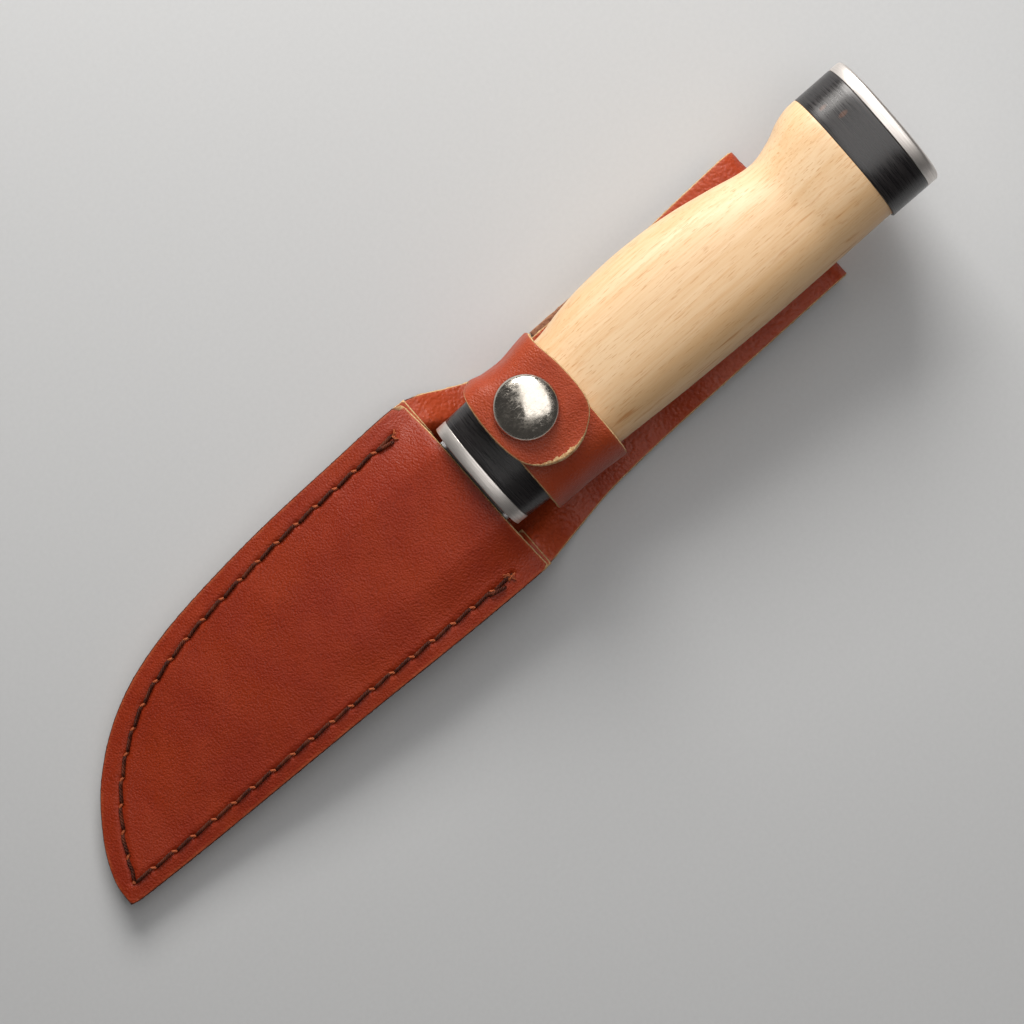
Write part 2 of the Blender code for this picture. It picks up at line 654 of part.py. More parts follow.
def seam_line():
    """Plan of the stitches, from the mouth's belly side round the tip to its spine side."""
    belly = offset_inwards(BELLY_CURVE, BELLY_SEAM, -1)
    spine = offset_inwards(SPINE_CURVE, SPINE_SEAM, 1)
    belly = belly[(belly[:, 0] < SEAM_END_X) & (belly[:, 1] > SEAM_CORNER[1] + SEAM_CORNER_ROOM)]
    spine = spine[(spine[:, 0] < SEAM_END_X) & (spine[:, 0] > SEAM_CORNER[0] + SEAM_CORNER_ROOM)]
    return spline(np.vstack([belly[::-1], [SEAM_CORNER], spine]), SEAM_SPACING)


def make_seam_threads(parent):
    line = seam_line()
    lift = THREAD_RADIUS + GAP
    front = [(x, y, front_underside(x, y) + LEATHER + lift) for x, y in line]
    back = [(x, y, back_underside(x, y) - lift) for x, y in line]
    thread("front_seam_thread", front, parent)
    thread("back_seam_thread", back, parent)


def make_loop_thread(parent):
    """Stitches that close the belt loop, on the panel's upper face under the handle."""
    ys = np.linspace(-LOOP_SEAM_HALF, LOOP_SEAM_HALF, LOOP_SEAM_POINTS)
    height = floor_height(LOOP_SEAM_X) + LEATHER + GAP + THREAD_RADIUS
    thread("loop_thread", [(LOOP_SEAM_X, y, height) for y in ys], parent)


def make_strap_thread(parent):
    """Box of stitches under the back panel that anchors the strap."""
    near, far = STRAP_SEAM_X
    half = STRAP_SEAM_HALF
    corners = [(near, -half), (far, -half), (far, half), (near, half)]
    lift = GAP + THREAD_RADIUS
    points = [(x, y, floor_height(x) - lift) for x, y in corners]
    thread("strap_thread", points, parent, closed=True)


# ---------------------------------------------------------------- keeper strap and snap


def ribbon(line):
    """A function from a distance along a cross line and a side to a point of the strap's face."""
    path = spline(line, 0.5)
    along = np.gradient(path, axis=0)
    along /= np.linalg.norm(along, axis=1)[:, None]
    run = np.concatenate([[0.0], np.cumsum(np.linalg.norm(np.diff(path, axis=0), axis=1))])

    def at(distance, side):
        y, z, ty, tz = (np.interp(distance, run, column) for column in (*path.T, *along.T))
        offset = STRAP * (side - 0.5)
        return (y + tz * offset, z - ty * offset)

    return at, run[-1], path, run


def upright(height):
    """Shift along the tilted knife that keeps the strap upright above its centre line."""
    return max(height, 0.0) * math.tan(TILT)


def snap_hole(path, run, stretch=1.0):
    """Ring of the snap's hole in a strap's flat pattern, where its cross line passes over the knife."""
    above = np.flatnonzero(path[:, 1] > HINGE_HEIGHT)
    crossing = above[np.argmin(np.abs(path[above, 0] - SNAP_Y))]
    centre = (SNAP_X - STRAP_X - upright(path[crossing, 1]), run[crossing] * stretch)
    return np.array(circle(SNAP_HOLE, SNAP_HOLE_SIDES)) + centre


def make_strap_wrap(parent):
    """The strap's fixed part: under the handle, up both sides and over the top under the flap."""
    at, length, path, run = ribbon(WRAP_LINE)
    half = STRAP_WIDTH / 2

    def place(x, distance, side):
        y, z = at(distance, 1 - side)
        return (STRAP_X + x + upright(z), y, z)

    rows = np.linspace(0.0, length, round(length / STRAP_SPACING) + 1)
    columns = np.linspace(-half, half, STRAP_COLUMNS)
    left = [(-half, d) for d in rows]
    right = [(half, d) for d in rows[::-1]]
    ends = [[(x, length) for x in columns[1:-1]], [(x, 0.0) for x in columns[-2:0:-1]]]
    outline = left + ends[0] + right + ends[1]
    outlines = [np.array(outline[::-1]), snap_hole(path, run)]
    leather("strap_wrap", outlines, grid_points(outlines, STRAP_SPACING), place, parent)


def make_strap_flap(parent, hinge):
    """The strap's free end, which folds over the snap."""
    at, length, path, run = ribbon(FLAP_LINE)
    reach = FLAP_TIP[1][1]

    def place(x, distance, side):
        y, z = at(min(distance * length / reach, length), 1 - side)
        return (STRAP_X + x + upright(z) - hinge[0], y - hinge[1], z - hinge[2])

    outline = spline(FLAP_LEFT + FLAP_TIP + FLAP_RIGHT, STRAP_SPACING)
    root = np.linspace(FLAP_RIGHT[-1][0], FLAP_LEFT[0][0], STRAP_COLUMNS)[1:-1]
    outline = np.vstack([outline, [(x, 0.0) for x in root]])
    outlines = [outline[::-1], snap_hole(path, run, reach / length)]
    leather("strap_flap", outlines, grid_points(outlines, STRAP_SPACING), place, parent)


def make_snap(fixed, moving, hinge):
    """Cap and socket on the flap, stud and eyelet on the strap under it."""
    turned("stud_eyelet", EYELET_PROFILE, "nickel", fixed, (SNAP_X, SNAP_Y))
    turned("snap_stud", STUD_PROFILE, "nickel", fixed, (SNAP_X, SNAP_Y))
    centre = (SNAP_X - hinge[0], SNAP_Y - hinge[1])
    for name, outline in (("snap_socket", SOCKET_PROFILE), ("snap_cap", CAP_PROFILE)):
        turned(name, [(radius, height - hinge[2]) for radius, height in outline], "nickel", moving, centre)


for thing in list(bpy.data.objects):
    bpy.data.objects.remove(thing)
MATERIALS = {name: make_material(name) for name in COLOURS}


def main():
    datum = make_empty("sheath_datum", (0.0, KNIFE_Y, 0.0), 0.0, None)
    knife = make_empty("knife_axis", (0.0, 0.0, AXIS_HEIGHT), TILT, datum)
    strap = make_empty("strap_axis", (0.0, 0.0, AXIS_HEIGHT), TILT, datum)
    hinge = (STRAP_X, HINGE_Y, HINGE_HEIGHT)
    flap = make_empty("flap_hinge", hinge, 0.0, strap)
    make_blade(knife)
    make_handle(knife)
    make_front_panel(datum)
    make_welts(datum)
    make_back_panel(datum)
    make_seam_threads(datum)
    make_loop_thread(datum)
    make_strap_thread(datum)
    make_strap_wrap(strap)
    make_strap_flap(flap, hinge)
    make_snap(strap, flap, hinge)


main()
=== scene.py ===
"""Looks of a whittling knife in its leather sheath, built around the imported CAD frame.

As in the part's own source, lengths are in millimetres and y is measured from the knife's centre line.
They turn into metres in the row frame as each mesh is made.
"""

import math

import bpy
import numpy as np
from mathutils import Matrix, Vector
from mathutils.geometry import delaunay_2d_cdt


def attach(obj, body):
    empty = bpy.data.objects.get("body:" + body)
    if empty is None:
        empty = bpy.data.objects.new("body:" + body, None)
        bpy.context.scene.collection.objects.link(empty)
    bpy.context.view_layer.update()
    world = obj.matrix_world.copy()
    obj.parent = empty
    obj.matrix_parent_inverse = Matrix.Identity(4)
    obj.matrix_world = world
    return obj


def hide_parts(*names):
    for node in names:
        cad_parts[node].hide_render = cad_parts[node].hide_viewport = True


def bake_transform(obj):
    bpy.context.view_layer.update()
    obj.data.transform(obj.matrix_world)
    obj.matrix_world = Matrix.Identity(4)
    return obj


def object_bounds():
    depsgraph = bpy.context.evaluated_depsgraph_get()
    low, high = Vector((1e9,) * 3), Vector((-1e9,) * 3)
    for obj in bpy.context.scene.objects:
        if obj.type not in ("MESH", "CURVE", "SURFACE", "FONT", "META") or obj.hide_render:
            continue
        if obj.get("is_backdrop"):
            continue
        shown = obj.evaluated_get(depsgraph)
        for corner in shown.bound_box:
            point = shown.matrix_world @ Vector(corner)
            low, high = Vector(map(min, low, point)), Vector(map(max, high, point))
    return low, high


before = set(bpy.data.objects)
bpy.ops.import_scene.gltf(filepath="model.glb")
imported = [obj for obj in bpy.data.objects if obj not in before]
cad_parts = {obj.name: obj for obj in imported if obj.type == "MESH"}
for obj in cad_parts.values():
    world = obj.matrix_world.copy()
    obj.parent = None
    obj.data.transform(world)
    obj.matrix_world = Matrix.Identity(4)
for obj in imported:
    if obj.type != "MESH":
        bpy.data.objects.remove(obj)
CAD_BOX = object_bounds()
MM = 0.001

# Layout, as in the part
TILT = math.radians(5.8)
AXIS_HEIGHT = 14.6
KNIFE_Y = 0.9
DATUM = Matrix.Translation((0.0, KNIFE_Y, 0.0))
KNIFE = Matrix.Translation((0.0, KNIFE_Y, AXIS_HEIGHT)) @ Matrix.Rotation(-TILT, 4, "Y")

# Leather
LEATHER = 1.8
WELT = 1.8
STRAP = 1.5
LAYER_GAP = 0.06  # what shows between glued layers
RIM = 0.42  # rounding of a leather edge
RIM_ROWS = (0.1, 0.24, 0.42)
RIM_ROOM = 0.15  # how far from the rounding the next points stay
FRAY = 0.1  # usual width of the grain's wear along an edge
WALL_SHARES = (0.3, 0.7)  # rows of points up a cut edge
WALL_SWELL = 0.05  # how far a cut edge bulges
PANEL_GRID = 0.95
WELT_GRID = 1.6
EDGE_STEP = 0.7
CHUNK = 2500  # points handled at a time

# Sheath outline, in plan
TIP_CORNER = (-126.8, -23.0)
BELLY_EDGE = [
    TIP_CORNER, (-126.0, -16.0), (-121.3, -6.4), (-111.8, 5.0), (-97.5, 14.6), (-78.5, 20.4),
    (-50.0, 23.6), (-22.0, 24.6), (-4.0, 25.0), (2.5, 24.0), (9.0, 21.0), (16.0, 18.1),
    (24.0, 17.0), (37.0, 16.6), (55.0, 17.0), (74.0, 18.2), (93.0, 19.0),
]
SPINE_EDGE = [
    TIP_CORNER, (-122.0, -23.7), (-98.0, -24.6), (-55.0, -25.5), (-27.0, -26.4), (-4.0, -26.8),
    (2.0, -26.4), (13.0, -24.6), (25.0, -22.8), (44.0, -21.8), (68.0, -21.3), (93.0, -20.8),
]
MOUTH_BELLY = (-0.9, 24.9)
MOUTH_SPINE = (0.3, -26.7)
MOUTH_LINE = [(-0.3, 12.0), (-0.2, -12.0)]
MOUTH_CORNER = 2.2  # how far the mouth's belly corner is worn round
WELT_STEP = 0.8
WELT_WIDTH = 10.5
WELT_TIP_X = -115.2
BELLY_SEAM = 5.0
SPINE_SEAM = 4.1
SEAM_CORNER = (-122.9, -19.4)
SEAM_END_X = -7.0
FLOOR = [
    (-127.0, 0.0), (-110.0, 0.0), (-80.0, 2.0), (-55.0, 3.8), (-38.0, 4.2), (-22.0, 3.4), (-5.0, 1.3),
    (9.8, 0.2), (31.0, 2.3), (42.0, 2.6), (57.0, 6.05), (70.0, 6.8), (93.0, 7.6),
]
SEAM_LIFT = [
    (-127.0, 1.3), (-110.0, 1.5), (-80.0, 2.1), (-50.0, 2.8), (-25.0, 4.7), (-5.0, 7.2), (0.8, 7.2),
    (9.0, 2.5), (14.0, 0.6), (20.0, 0.0), (93.0, 0.0),
]
SEAM_FLAT = 6.2
SEAM_EASE = 6.8
STACK_GAP = 0.6  # the part's two gaps between panel, welt and panel
ARCH_START = 4.5  # the front panel climbs to the blade between these distances from the edge
ARCH_END = 15.0
EDGE_PRESS = 0.35  # how far the seam is pressed together at its edge
CROWN = 0.5  # the front panel's middle stands this much higher
CROWN_WIDTH = 24.0
MOUTH_WEAR = 0.75  # how far the mouth's belly corner is pressed down

# Belt loop
FOLD_X = 93.3
FOLD_SKEW = 0.05
FOLD_SKEW_START = 60.0
TAIL_START = 6.0
TAIL_END_X = 34.0
TAIL_BELLY_Y = 18.0
TAIL_SPINE_Y = -20.2
SKIVE = 0.5
SKIVE_START_X = 56.0
LOOP_SEAM_X = 38.5
LOOP_SEAM_HALF = 12.5

# Stitches
STITCH = 6.12
STITCH_SLANT = 0.28  # each stitch crosses the seam's line by this to each side
STITCH_JITTER = 0.22
PLY = 0.24  # radius of one of a thread's plies
LAY = 0.25  # plies' distance from the thread's middle
PLY_TURN = 2.6  # length of one turn of the twist
PLIES = 3
CROSSING = 0.34  # how far the loops at the holes reach to each side
PLY_SIDES = 7
GLINT_LOOP_SIZE = 0.7  # thickness of the loops at the holes, as a share of the thread's; these loops carry a painted coppery highlight
LOOSE_SIZE = 0.34
LOOSE_ENDS = ((0, 0.6, 4), (-1, -0.9, 11))  # hole, distance from it and number of strands
THREAD_STEP = 0.22
SEAM_OFFSETS = (-1.9, -1.3, -0.85, -0.5, -0.2, 0.2, 0.5, 0.85, 1.3, 1.9)
GROOVE_DEPTH = 0.34
GROOVE_WIDTH = 0.75
HOLE_DEPTH = 0.5
HOLE_WIDTH = 0.5
STITCH_BURY = 1.1  # how deep a stitch's ends go in
BACKSTITCH = 0.75  # how far the end stitches' second round lies to the side

# Blade
BLADE_TIP_X = -109.0
BLADE_SHOULDER = 1.0
BLADE_SPINE_Y = -12.2
BLADE_THICKNESS = 3.0
BLADE_ROOM = 0.6
BLADE_EDGE = [
    (-109.0, -11.8), (-106.0, -7.6), (-100.0, -2.4), (-90.0, 3.2), (-75.0, 7.8),
    (-55.0, 10.5), (-30.0, 11.3), (1.0, 11.4),
]
BLADE_TAPER = [(-109.0, 0.5), (-85.0, 0.8), (1.0, 1.0)]
RICASSO = 4.0
RICASSO_EASE = 3.0
BLADE_STATIONS = 110
GRIND_LINE = 0.45
MICRO_LINE = 0.965  # where the edge's own small bevel starts
MICRO_HALF = 0.22
EDGE_HALF = 0.03
ROOT_SHADE = (3.0, 4.0)  # painted shade for the shadowed gap at the sheath's mouth ends between these distances from the shoulder
ROOT_SHADE_REACH = (0.46, 0.42)  # and between these shares of the blade's width from its middle
TANG_HALF = (4.2, 1.5)
TANG_POWER = 6.0
TANG_ROOM = 0.3
TANG_END = 105.0
ROD_START = 107.5
ROD_RADIUS = 2.5
ROD_END = 125.4
THREAD_PITCH = 0.8
THREAD_DEPTH = 0.28

# Handle
JOINTS = (4.3, 14.5, 112.75, 122.95)  # where its pieces meet
JOINT_LINE = 0.03  # half of the fine line between them
HANDLE_FRONT = 1.3
HANDLE_BACK = 126.2
HANDLE_BELLY = [
    (1.3, 14.5), (4.3, 14.6), (11.0, 14.8), (32.0, 15.0), (41.0, 16.6), (48.0, 17.5), (58.0, 17.9),
    (66.0, 17.6), (75.0, 16.6), (84.0, 14.95), (95.8, 12.8), (102.0, 14.3), (107.0, 16.5),
    (111.0, 17.3), (126.2, 17.3),
]
HANDLE_SPINE = [
    (1.3, 14.6), (11.0, 15.0), (32.0, 15.8), (54.0, 16.7), (77.0, 17.1), (99.0, 16.9),
    (112.6, 16.7), (112.9, 17.4), (126.2, 17.4),
]
HANDLE_THICK = [
    (1.3, 9.4), (11.0, 9.9), (31.0, 11.0), (45.0, 11.9), (60.0, 12.2), (75.0, 12.0),
    (95.8, 11.3), (104.0, 12.3), (112.6, 13.1), (126.2, 13.3),
]
SECTION_POWER = 2.4
SECTION_SIDES = 120
HANDLE_STEP = 1.2
FILLET_STEPS = 5
NUT_RADIUS = 5.0
NUT_DEPTH = 1.5
NUT_ROOM = 0.25
NUT_THREAD_ROOM = 0.15
NUT_SLOT = (1.3, 15.0, 1.2)  # depth through its face, length and width

# Keeper strap
STRAP_X = 21.1
STRAP_HALF = 10.2
BASE_LINE = [
    (-3.0, -12.3), (4.0, -12.3), (10.5, -11.6), (15.0, -7.6), (16.3, -2.0), (16.35, 4.0), (15.65, 8.8),
]
FLAP_LINE = [
    (15.4, 12.5), (13.9, 16.3), (10.6, 18.0), (4.1, 18.15), (-2.0, 18.1), (-6.5, 17.4),
    (-9.0, 17.2), (-11.0, 17.8),
]
INNER_LINE = [
    (-3.05, -12.3), (-4.0, -12.3), (-11.0, -11.6), (-16.0, -7.4), (-17.3, -1.0), (-16.9, 4.0),
    (-14.6, 8.4), (-10.5, 11.0), (-4.0, 12.25), (0.0, 12.35), (4.1, 12.35), (9.0, 12.1), (11.0, 11.8),
]
FLAP_LEFT = [(-7.6, 0.0), (-9.4, 5.0), (-11.0, 11.0), (-11.5, 18.0), (-10.8, 24.5), (-9.2, 28.5)]
FLAP_TIP = [(-6.2, 31.2), (-2.0, 32.8), (2.2, 32.6), (6.0, 30.8)]
FLAP_RIGHT = [(9.4, 27.8), (10.8, 23.5), (10.8, 16.0), (9.9, 9.0), (10.6, 0.0)]
HINGE = (15.65, 8.8)
STRAP_FLARE = 0.6  # how far the strap's butt side stands off the grip's sides
BELLY_FLARE = 0.8  # and its front side off the grip's belly
BELLY_WAIST = 0.45  # how far its middle is drawn in there
FLARE_RISE = 6.0  # the flares fade in over this height of the grip's side
TEAR = 1.0  # how far the grain is torn back at the flap's tip
BEND_START = 1.5  # heights from the knife's axis of two points at the strap's hinge; their places are worked out but not used
BEND_END = 15.8

# Snap, along its own axis from the knife's centre line upwards
SNAP_X = 21.8
SNAP_Y = 4.1
SNAP_HOLE = 2.1
EYELET_PROFILE = [(0.0, 11.0), (4.4, 11.0), (4.4, 11.3), (1.7, 11.35), (1.7, 15.2), (0.0, 15.2)]
STUD_PROFILE = [
    (2.05, 13.4), (5.4, 13.4), (5.4, 13.85), (3.1, 13.9), (2.5, 14.5), (2.8, 15.5), (2.3, 15.95),
    (0.0, 16.0), (0.0, 15.55), (2.05, 15.5),
]
SOCKET_PROFILE = [
    (3.65, 14.25), (5.7, 14.25), (6.1, 14.7), (6.1, 16.5), (5.6, 17.0), (2.1, 17.05),
    (2.1, 16.65), (3.65, 16.5),
]
CAP_PROFILE = [
    (0.0, 16.4), (1.75, 16.4), (1.75, 19.45), (7.15, 19.45), (7.45, 19.62), (7.55, 19.95), (7.45, 20.3),
    (7.1, 20.75), (6.4, 21.2), (5.2, 21.65), (3.6, 22.05), (1.8, 22.35), (0.0, 22.45),
]
TURN_SIDES = 96

STRAP_SEAM_X = (23.5, 29.5)
STRAP_SEAM_HALF = 8.0

# Lights: name, place and aim in metres, roll in degrees, size in metres, power in watts, colour
LIGHTS = (
    ("ceiling", (0.38, 0.3, 0.94), (0.38, 0.3, 0.0), -26.0, (0.76, 1.5), 6.4, (1.0, 0.98, 0.96)),
    ("window", (0.34, 0.54, 0.4), (0.0, 0.0, 0.0), 0.0, (0.45, 0.3), 6.3, (1.0, 0.97, 0.93)),
)
ROOM_LIGHT = 0.06

CAMERA_LENS = (90.0, 36.0)  # focal length and sensor width
CAMERA_PLACE = (0.00197, -0.01069, 0.611)  # in metres
CAMERA_TURN = -40.85  # in degrees


# ---------------------------------------------------------------- curves and fields


def smooth(t):
    """Ease from 0 to 1."""
    t = np.clip(t, 0.0, 1.0)
    return t * t * (3.0 - 2.0 * t)


def ramp(t):
    """Climb from 0 to 1 with an even slope between rounded ends."""
    t = np.clip(t, 0.0, 1.0)
    return t + (smooth(t) - t) * 0.45


def bell(distance, width):
    return np.exp(-((distance / width) ** 2))


def profile(points):
    """A function through (station, value) points that never overshoots them."""
    xs, ys = np.array(points, dtype=float).T
    steps = np.diff(ys) / np.diff(xs)
    slopes = np.zeros(len(xs))
    for i in range(1, len(xs) - 1):
        if steps[i - 1] * steps[i] > 0:
            slopes[i] = 2 * steps[i - 1] * steps[i] / (steps[i - 1] + steps[i])

    def value(x):
        x = np.clip(x, xs[0], xs[-1])
        i = np.clip(np.searchsorted(xs, x, side="right") - 1, 0, len(xs) - 2)
        width = xs[i + 1] - xs[i]
        t = (x - xs[i]) / width
        ease = t * t * (3 - 2 * t)
        enter = t * (1 - t) ** 2
        leave = t * t * (t - 1)
        return ys[i] * (1 - ease) + ys[i + 1] * ease + width * (slopes[i] * enter + slopes[i + 1] * leave)

    return value


def spline(points, spacing):
    """Points about spacing apart on a smooth curve through the given ones."""
    pts = np.array(points, dtype=float)
    pts = np.vstack([2 * pts[0] - pts[1], pts, 2 * pts[-1] - pts[-2]])
    fine = []
    for a, b, c, d in zip(pts, pts[1:], pts[2:], pts[3:]):
        for t in np.linspace(0.0, 1.0, 16, endpoint=False):
            pull = 2 * b + (c - a) * t + (2 * a - 5 * b + 4 * c - d) * t**2 + (3 * b - a - 3 * c + d) * t**3
            fine.append(pull / 2)
    return resampled(np.array(fine + [pts[-2]]), spacing)


def run_of(path):
    """Distance along a path at each of its points."""
    return np.concatenate([[0.0], np.cumsum(np.linalg.norm(np.diff(path, axis=0), axis=1))])


def along_path(path, run, values=None):
    """Places on a path at distances along it, or what values given at its points come to there."""
    rows = path if values is None else values
    own = run_of(path)
    return np.stack([np.interp(run, own, column) for column in rows.T], axis=-1)


def resampled(path, spacing):
    length = run_of(path)[-1]
    return along_path(path, np.linspace(0.0, length, max(2, round(length / spacing) + 1)))


def in_parts(points):
    return np.array_split(points, len(points) // CHUNK + 1)


def nearest(curve, points):
    """Distance in plan from each point to a curve, and how far along the curve that is."""
    start, along = curve[:-1], np.diff(curve, axis=0)
    length = np.linalg.norm(along, axis=1)
    run = run_of(curve)
    gaps, runs = [], []
    for part in in_parts(points):
        offset = part[:, None] - start
        t = np.clip((offset * along).sum(axis=2) / length**2, 0.0, 1.0)
        gap = np.linalg.norm(offset - t[..., None] * along, axis=2)
        best = (np.arange(len(part)), gap.argmin(axis=1))
        gaps.append(gap[best])
        runs.append(run[best[1]] + t[best] * length[best[1]])
    return np.concatenate(gaps), np.concatenate(runs)


def inside(outline, points):
    """Which points lie within a closed outline."""
    x0, y0 = outline.T
    x1, y1 = np.roll(outline, -1, axis=0).T
    rise = np.where(y1 == y0, 1.0, y1 - y0)
    hits = []
    for part in in_parts(points):
        x, y = part[:, :1], part[:, 1:]
        crossed = ((y0 > y) != (y1 > y)) & (x < x0 + (x1 - x0) * (y - y0) / rise)
        hits.append(crossed.sum(axis=1) % 2 == 1)
    return np.concatenate(hits)


def unit(vectors):
    return vectors / np.linalg.norm(vectors, axis=1)[:, None]


def heading(path):
    """A path's direction at each of its points."""
    return unit(np.gradient(path, axis=0))


def offset_sideways(curve, width):
    """A plan curve moved to its left."""
    along = heading(curve)
    return curve + width * np.column_stack([-along[:, 1], along[:, 0]])


def ripple(points, size, seed):
    """Soft uneven waves of about that size over points, mostly within -1 to 1."""
    rng = np.random.default_rng(seed)
    total = np.zeros(len(points))
    for _ in range(7):
        direction = rng.normal(size=points.shape[1])
        direction *= 2 * math.pi / (size * rng.uniform(0.7, 1.5) * np.linalg.norm(direction))
        total += np.sin(points @ direction + rng.uniform(0.0, 2 * math.pi))
    return total / 3.0


floor_height = profile(FLOOR)
seam_lift = profile(SEAM_LIFT)
blade_edge = profile(BLADE_EDGE)
blade_taper = profile(BLADE_TAPER)
handle_belly = profile(HANDLE_BELLY)
handle_spine = profile(HANDLE_SPINE)
handle_thick = profile(HANDLE_THICK)
BELLY_CURVE = spline(BELLY_EDGE, EDGE_STEP)
SPINE_CURVE = spline(SPINE_EDGE, EDGE_STEP)


def edge_distance(flat):
    return np.minimum(nearest(BELLY_CURVE, flat)[0], nearest(SPINE_CURVE, flat)[0])


def knife_height(x):
    return AXIS_HEIGHT + x * math.tan(TILT)


def back_underside(flat, edge):
    """Height of the back panel's lower face before the fold; edge is the distance from the outline."""
    ease = smooth((edge - SEAM_FLAT) / SEAM_EASE)
    return floor_height(flat[:, 0]) + seam_lift(flat[:, 0]) * (1.0 - ease)


def front_underside(flat, edge):
    """Height of the front panel's lower face: on the welts at the seams, over the blade between them."""
    seam = floor_height(flat[:, 0]) + seam_lift(flat[:, 0]) + LEATHER + WELT + STACK_GAP
    over_blade = np.maximum(seam, knife_height(flat[:, 0]) + BLADE_THICKNESS / 2 + BLADE_ROOM)
    rise = ramp((edge - ARCH_START) / (ARCH_END - ARCH_START))
    pressed = EDGE_PRESS * (1.0 - smooth(edge / ARCH_START))
    below_crown = CROWN * (1.0 - smooth(edge / CROWN_WIDTH))
    return seam + (over_blade - seam) * rise - pressed - below_crown


# ---------------------------------------------------------------- meshes


def make_mesh(name, verts, faces, place, sharp=50.0):
    """An object of millimetre points put at a place; its flat attribute keeps them as given, in metres."""
    mesh = bpy.data.meshes.new(name)
    verts = np.asarray(verts, dtype=float)
    turn = np.array(place.to_3x3())
    moved = (verts @ turn.T + np.array(place.translation)) * MM
    mesh.from_pydata(moved.tolist(), [], faces)
    mesh.shade_smooth()
    mesh.set_sharp_from_angle(angle=math.radians(sharp))
    set_attribute(mesh, "flat", verts * MM)
    piece = bpy.data.objects.new(name, mesh)
    bpy.context.scene.collection.objects.link(piece)
    return piece


def set_attribute(mesh, name, values):
    """Per-point numbers or vectors for the materials to read."""
    values = np.asarray(values, dtype=np.float32)
    vector = values.ndim == 2
    attribute = mesh.attributes.new(name, "FLOAT_VECTOR" if vector else "FLOAT", "POINT")
    attribute.data.foreach_set("vector" if vector else "value", values.ravel())


def finish_piece(piece, material, slot, body, *nodes):
    """Paints a piece, puts it on a body and lets it stand for CAD nodes."""
    piece.data.materials.append(material)
    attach(piece, body)
    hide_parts(*nodes)


def volume_of(verts, faces):
    """Six times the signed volume within faces."""
    total = 0.0
    for face in faces:
        a = verts[face[0]]
        for i, j in zip(face[1:], face[2:]):
            total += np.dot(a, np.cross(verts[i], verts[j]))
    return total


def rim_drop(gap):
    """How far a face falls away near an edge, as a quarter circle."""
    inner = np.clip(RIM - gap, 0.0, RIM)
    return RIM - np.sqrt(RIM**2 - inner**2)


def flat_points(rings, rows, spacing):
    """Points of a flat cut: its rings, close rows along them, given rows, and a grid over the rest."""
    closed = [np.vstack([ring, ring[:1]]) for ring in rings]

    def gap_of(points):
        return np.min([nearest(ring, points)[0] for ring in closed], axis=0)

    def within(points):
        kept = inside(rings[0], points)
        for hole in rings[1:]:
            kept &= ~inside(hole, points)
        return kept

    found = list(rings)
    for ring in closed:
        for depth in RIM_ROWS:
            for side in (-depth, depth):
                row = offset_sideways(ring, side)[:-1]
                found.append(row[within(row) & (gap_of(row) > 0.9 * depth)])
    for row in rows:
        found.append(row[within(row) & (gap_of(row) > RIM + RIM_ROOM)])
    low, high = rings[0].min(axis=0), rings[0].max(axis=0)
    xs = np.arange(low[0], high[0], spacing)
    ys = np.arange(low[1], high[1], spacing * math.sqrt(0.75))
    grid = np.array([(x + (k % 2) * spacing / 2, y) for k, y in enumerate(ys) for x in xs])
    kept = within(grid) & (gap_of(grid) > RIM + 0.4 * spacing)
    for row in rows:
        kept[kept] = nearest(row, grid[kept])[0] > 0.5 * spacing
    found.append(grid[kept])
    return np.vstack(found), within, gap_of


